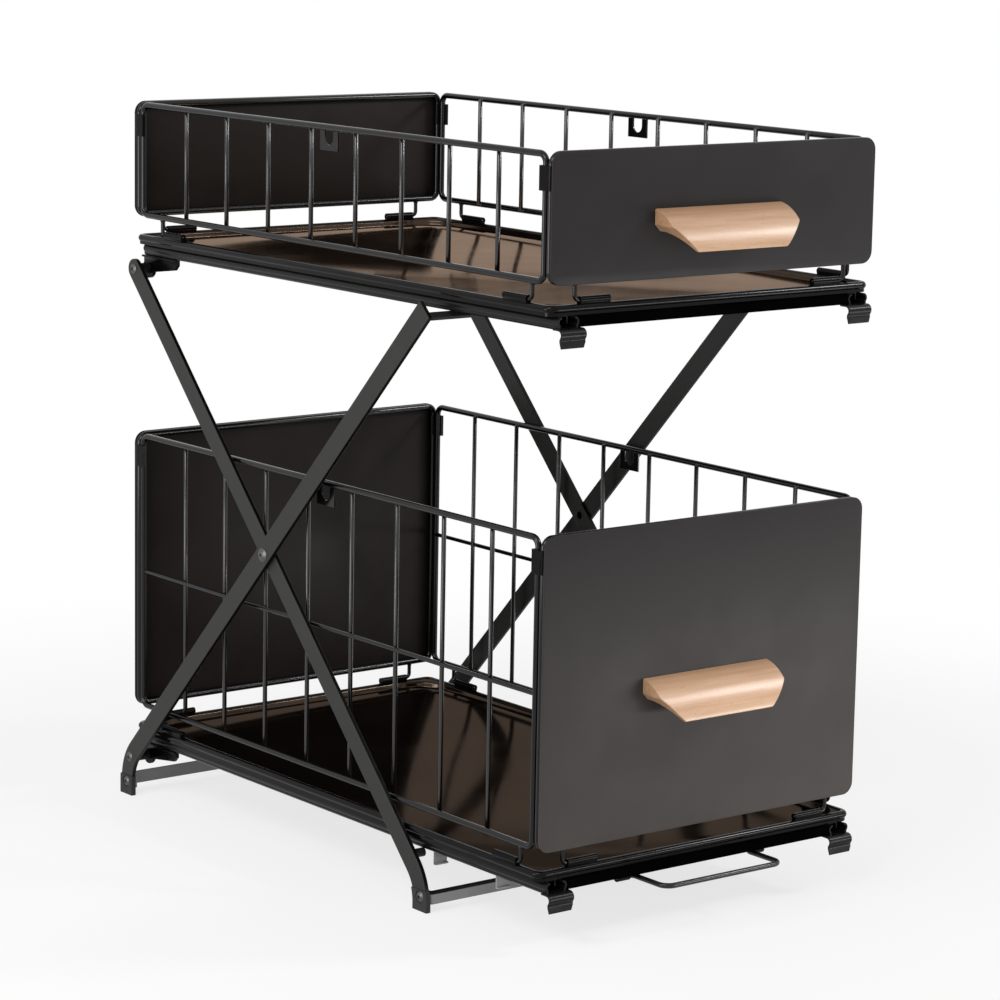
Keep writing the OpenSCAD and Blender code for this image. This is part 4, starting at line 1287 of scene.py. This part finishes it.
@dataclass
class Studio:
    """White floor, soft lamps and the camera, in metres.

    The floor is shaded near the middle, where glow of it is plain white, and fades from near to far to plain white.
    fill is the strength of the light from all round.
    """

    white: str = "#f4f4f4"
    half: float = 30.0
    near: float = 0.3
    far: float = 0.8
    glow: float = 0.75
    fill: float = 0.4
    eye: Point = (-1.22853, -1.58853, 0.56798)
    right: Point = (0.791457, -0.610958, 0.018042)
    up: Point = (0.095009, 0.15213, 0.983783)
    lens: float = 126.9
    sensor: float = 36.0
    clip: tuple[float, float] = (0.05, 100.0)

    def floor(self) -> None:
        """Builds the floor. It is real near the object, for its shadow, and plain white farther out."""
        work = bmesh.new()
        bmesh.ops.create_grid(work, x_segments=2, y_segments=2, size=self.half)
        obj = linked(work, "floor")
        made = bpy.data.materials.new("studio_floor")
        tree = emptied(made)
        place = add_node(tree, "TexCoord", out="Object")
        away = add_node(tree, "VectorMath", {0: place}, "Value", operation="LENGTH")
        ends = {0: away, 1: self.near, 2: self.far, 3: self.glow, 4: 1.0}
        fade = add_node(tree, "MapRange", ends, interpolation_type="SMOOTHSTEP")
        both = add_node(tree, "Math", {0: fade, 1: self.seen(tree)}, operation="MULTIPLY")
        paint = add_node(tree, "BsdfDiffuse", {"Color": linear(self.white)})
        light = add_node(tree, "Emission", {"Color": WHITE, "Strength": 1.0})
        mixed = add_node(tree, "MixShader", {0: both, 1: paint, 2: light})
        add_node(tree, "OutputMaterial", {"Surface": mixed})
        obj.data.materials.append(made)

    @staticmethod
    def seen(tree: Tree) -> Socket:
        """Tells the rays that see the white from those that only light.

        Args:
            tree: The node tree of the floor or the world.

        Returns:
            1 for camera, glossy and transmission rays and 0 for the others.
        """
        path = add_node(tree, "LightPath").node.outputs
        two = add_node(tree, "Math", {0: path["Is Camera Ray"], 1: path["Is Glossy Ray"]}, operation="MAXIMUM")
        return add_node(tree, "Math", {0: two, 1: path["Is Transmission Ray"]}, operation="MAXIMUM")

    def world(self) -> None:
        """Builds the world: white where it is seen, and a plain fill light."""
        world = bpy.data.worlds.new("studio_world")
        tree = emptied(world)
        strength = span(tree, self.seen(tree), 0.0, 1.0, self.fill, 1.0)
        light = add_node(tree, "Background", {"Color": WHITE, "Strength": strength})
        add_node(tree, "OutputWorld", {"Surface": light})
        bpy.context.scene.world = world

    @staticmethod
    def lamp(name: str, place: Point, aim: Point, size: tuple[float, float], power: float) -> None:
        """Adds an area lamp.

        Args:
            name: The lamp's name.
            place: Where it hangs.
            aim: The point it shines at.
            size: Width and height.
            power: Power in watts.
        """
        data = bpy.data.lights.new(name, "AREA")
        data.shape = "RECTANGLE"
        data.size, data.size_y = size
        data.energy = power
        obj = bpy.data.objects.new(name, data)
        obj.location = place
        obj.rotation_euler = (Vector(aim) - Vector(place)).to_track_quat("-Z", "Y").to_euler()
        obj.visible_camera = False
        bpy.context.collection.objects.link(obj)

    def camera(self) -> None:
        """Adds the camera, out in front of the rack's left corner and a little over its top."""
        data = bpy.data.cameras.new("camera")
        data.lens, data.sensor_width = self.lens, self.sensor
        data.clip_start, data.clip_end = self.clip
        obj = bpy.data.objects.new("camera", data)
        right, up = Vector(self.right), Vector(self.up)
        obj.matrix_world = shift(*self.eye) @ Matrix((right, up, right.cross(up))).transposed().to_4x4()
        bpy.context.collection.objects.link(obj)
        bpy.context.scene.camera = obj

    def build(self) -> None:
        """Builds the whole stage. The front lamp is for the handles, and the low one for the feet."""
        bpy.context.scene.view_settings.view_transform = "Standard"
        self.world()
        self.floor()
        self.lamp("key", (-1.4, -0.5, 1.5), (0.0, 0.0, 0.25), (1.1, 0.8), 15.0)
        self.lamp("front", (1.1, -0.85, 1.1), (0.0, -0.21, 0.25), (0.3, 0.2), 7.5)
        self.lamp("side", (-1.15, 0.1, 0.3), (-0.1, 0.0, 0.25), (0.55, 0.5), 5.5)
        self.lamp("low", (0.42, -0.78, 0.045), (0.0, -0.19, 0.05), (0.6, 0.08), 2.6)
        self.camera()


# The finish of each copied piece, by what its node's name holds. The first match counts, and the rest are RACK_BLACK.
COPIED: tuple[tuple[str, Finish], ...] = (
    ("_handle_screws", ZINC), ("balls", BEARING), ("cages", SLIDE_SHADED), ("runners", SLIDE_SHADED),
    ("caps", FOOT_RUBBER), ("hang_plate", WIRE_BLACK), ("clips", RACK_BLACK), ("crossbar", LEG_GREY),
    ("studs", LEG_GREY), ("upper_rail", RAIL_LIT_BLACK),
)
# The foot caps are rounder than the other copied pieces.
CAP_BEVEL = 0.22


def build_baskets(frame: Frame) -> None:
    """Builds the trays, panels, grilles and handles of both baskets.
    """
    for tier in Tier:
        basket = Basket.read(tier)
        # The upper floor gets the lit copy of the gloss and the lower the shaded one: painted light and shade.
        Tray(frame, basket, UPPER_TRAY_LIT_GLOSS if tier is Tier.UPPER else LOWER_TRAY_SHADED_GLOSS).build()
        Panel(frame, basket, End.FRONT, FRONT_GREY).build()
        # The back sheets get the shaded copy of the lacquer: painted shade.
        Panel(frame, basket, End.BACK, BACK_SHADED_BROWN).build()
        for side in Side:
            Grille(frame, basket, side, tier is Tier.LOWER).build()
        Handle(frame, basket).build()


def build_rack(frame: Frame) -> None:
    """Builds the cross members of both racks, the crossing legs, their foot crossbars and the stand.
    """
    for tier in Tier:
        Member(frame, tier.value + "_front_member", False).build()
        Member(frame, tier.value + "_rear_member", True).build()
    for side in Side:
        Leg(frame, "outer_leg_" + side.value, True).build()
        Leg(frame, "inner_leg_" + side.value, False).build()
    FootCrossbar(frame, "outer_foot_crossbar", True).build()
    FootCrossbar(frame, "inner_foot_crossbar", False).build()
    Stand(frame).build()


def build_copies(frame: Frame) -> None:
    """Builds a copy of each node that no piece stands for yet.
    """
    done = {name for obj in bpy.data.objects for name in obj.get("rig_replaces", [])}
    for node in sorted(set(frame["nodes"]) - done):
        if "rivets" in node:
            RivetSet(frame, node, ZINC).build()
        elif node.startswith("lower_rail"):
            # The lower rails get the lit copy of the rack coat: a painted highlight.
            Rail(frame, node, RAIL_LIT_BLACK).build()
        else:
            finish = next((f for part, f in COPIED if part in node), RACK_BLACK)
            CadPiece(frame, node, finish, CAP_BEVEL if finish is FOOT_RUBBER else CadPiece.bevel).build()


def main() -> None:
    """Builds the pieces on the frame and the stage round them."""
    logging.basicConfig(level=logging.INFO, format="%(name)s: %(message)s")
    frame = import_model()
    build_baskets(frame)
    build_rack(frame)
    build_copies(frame)
    Studio().build()


if __name__ == "__main__":
    main()
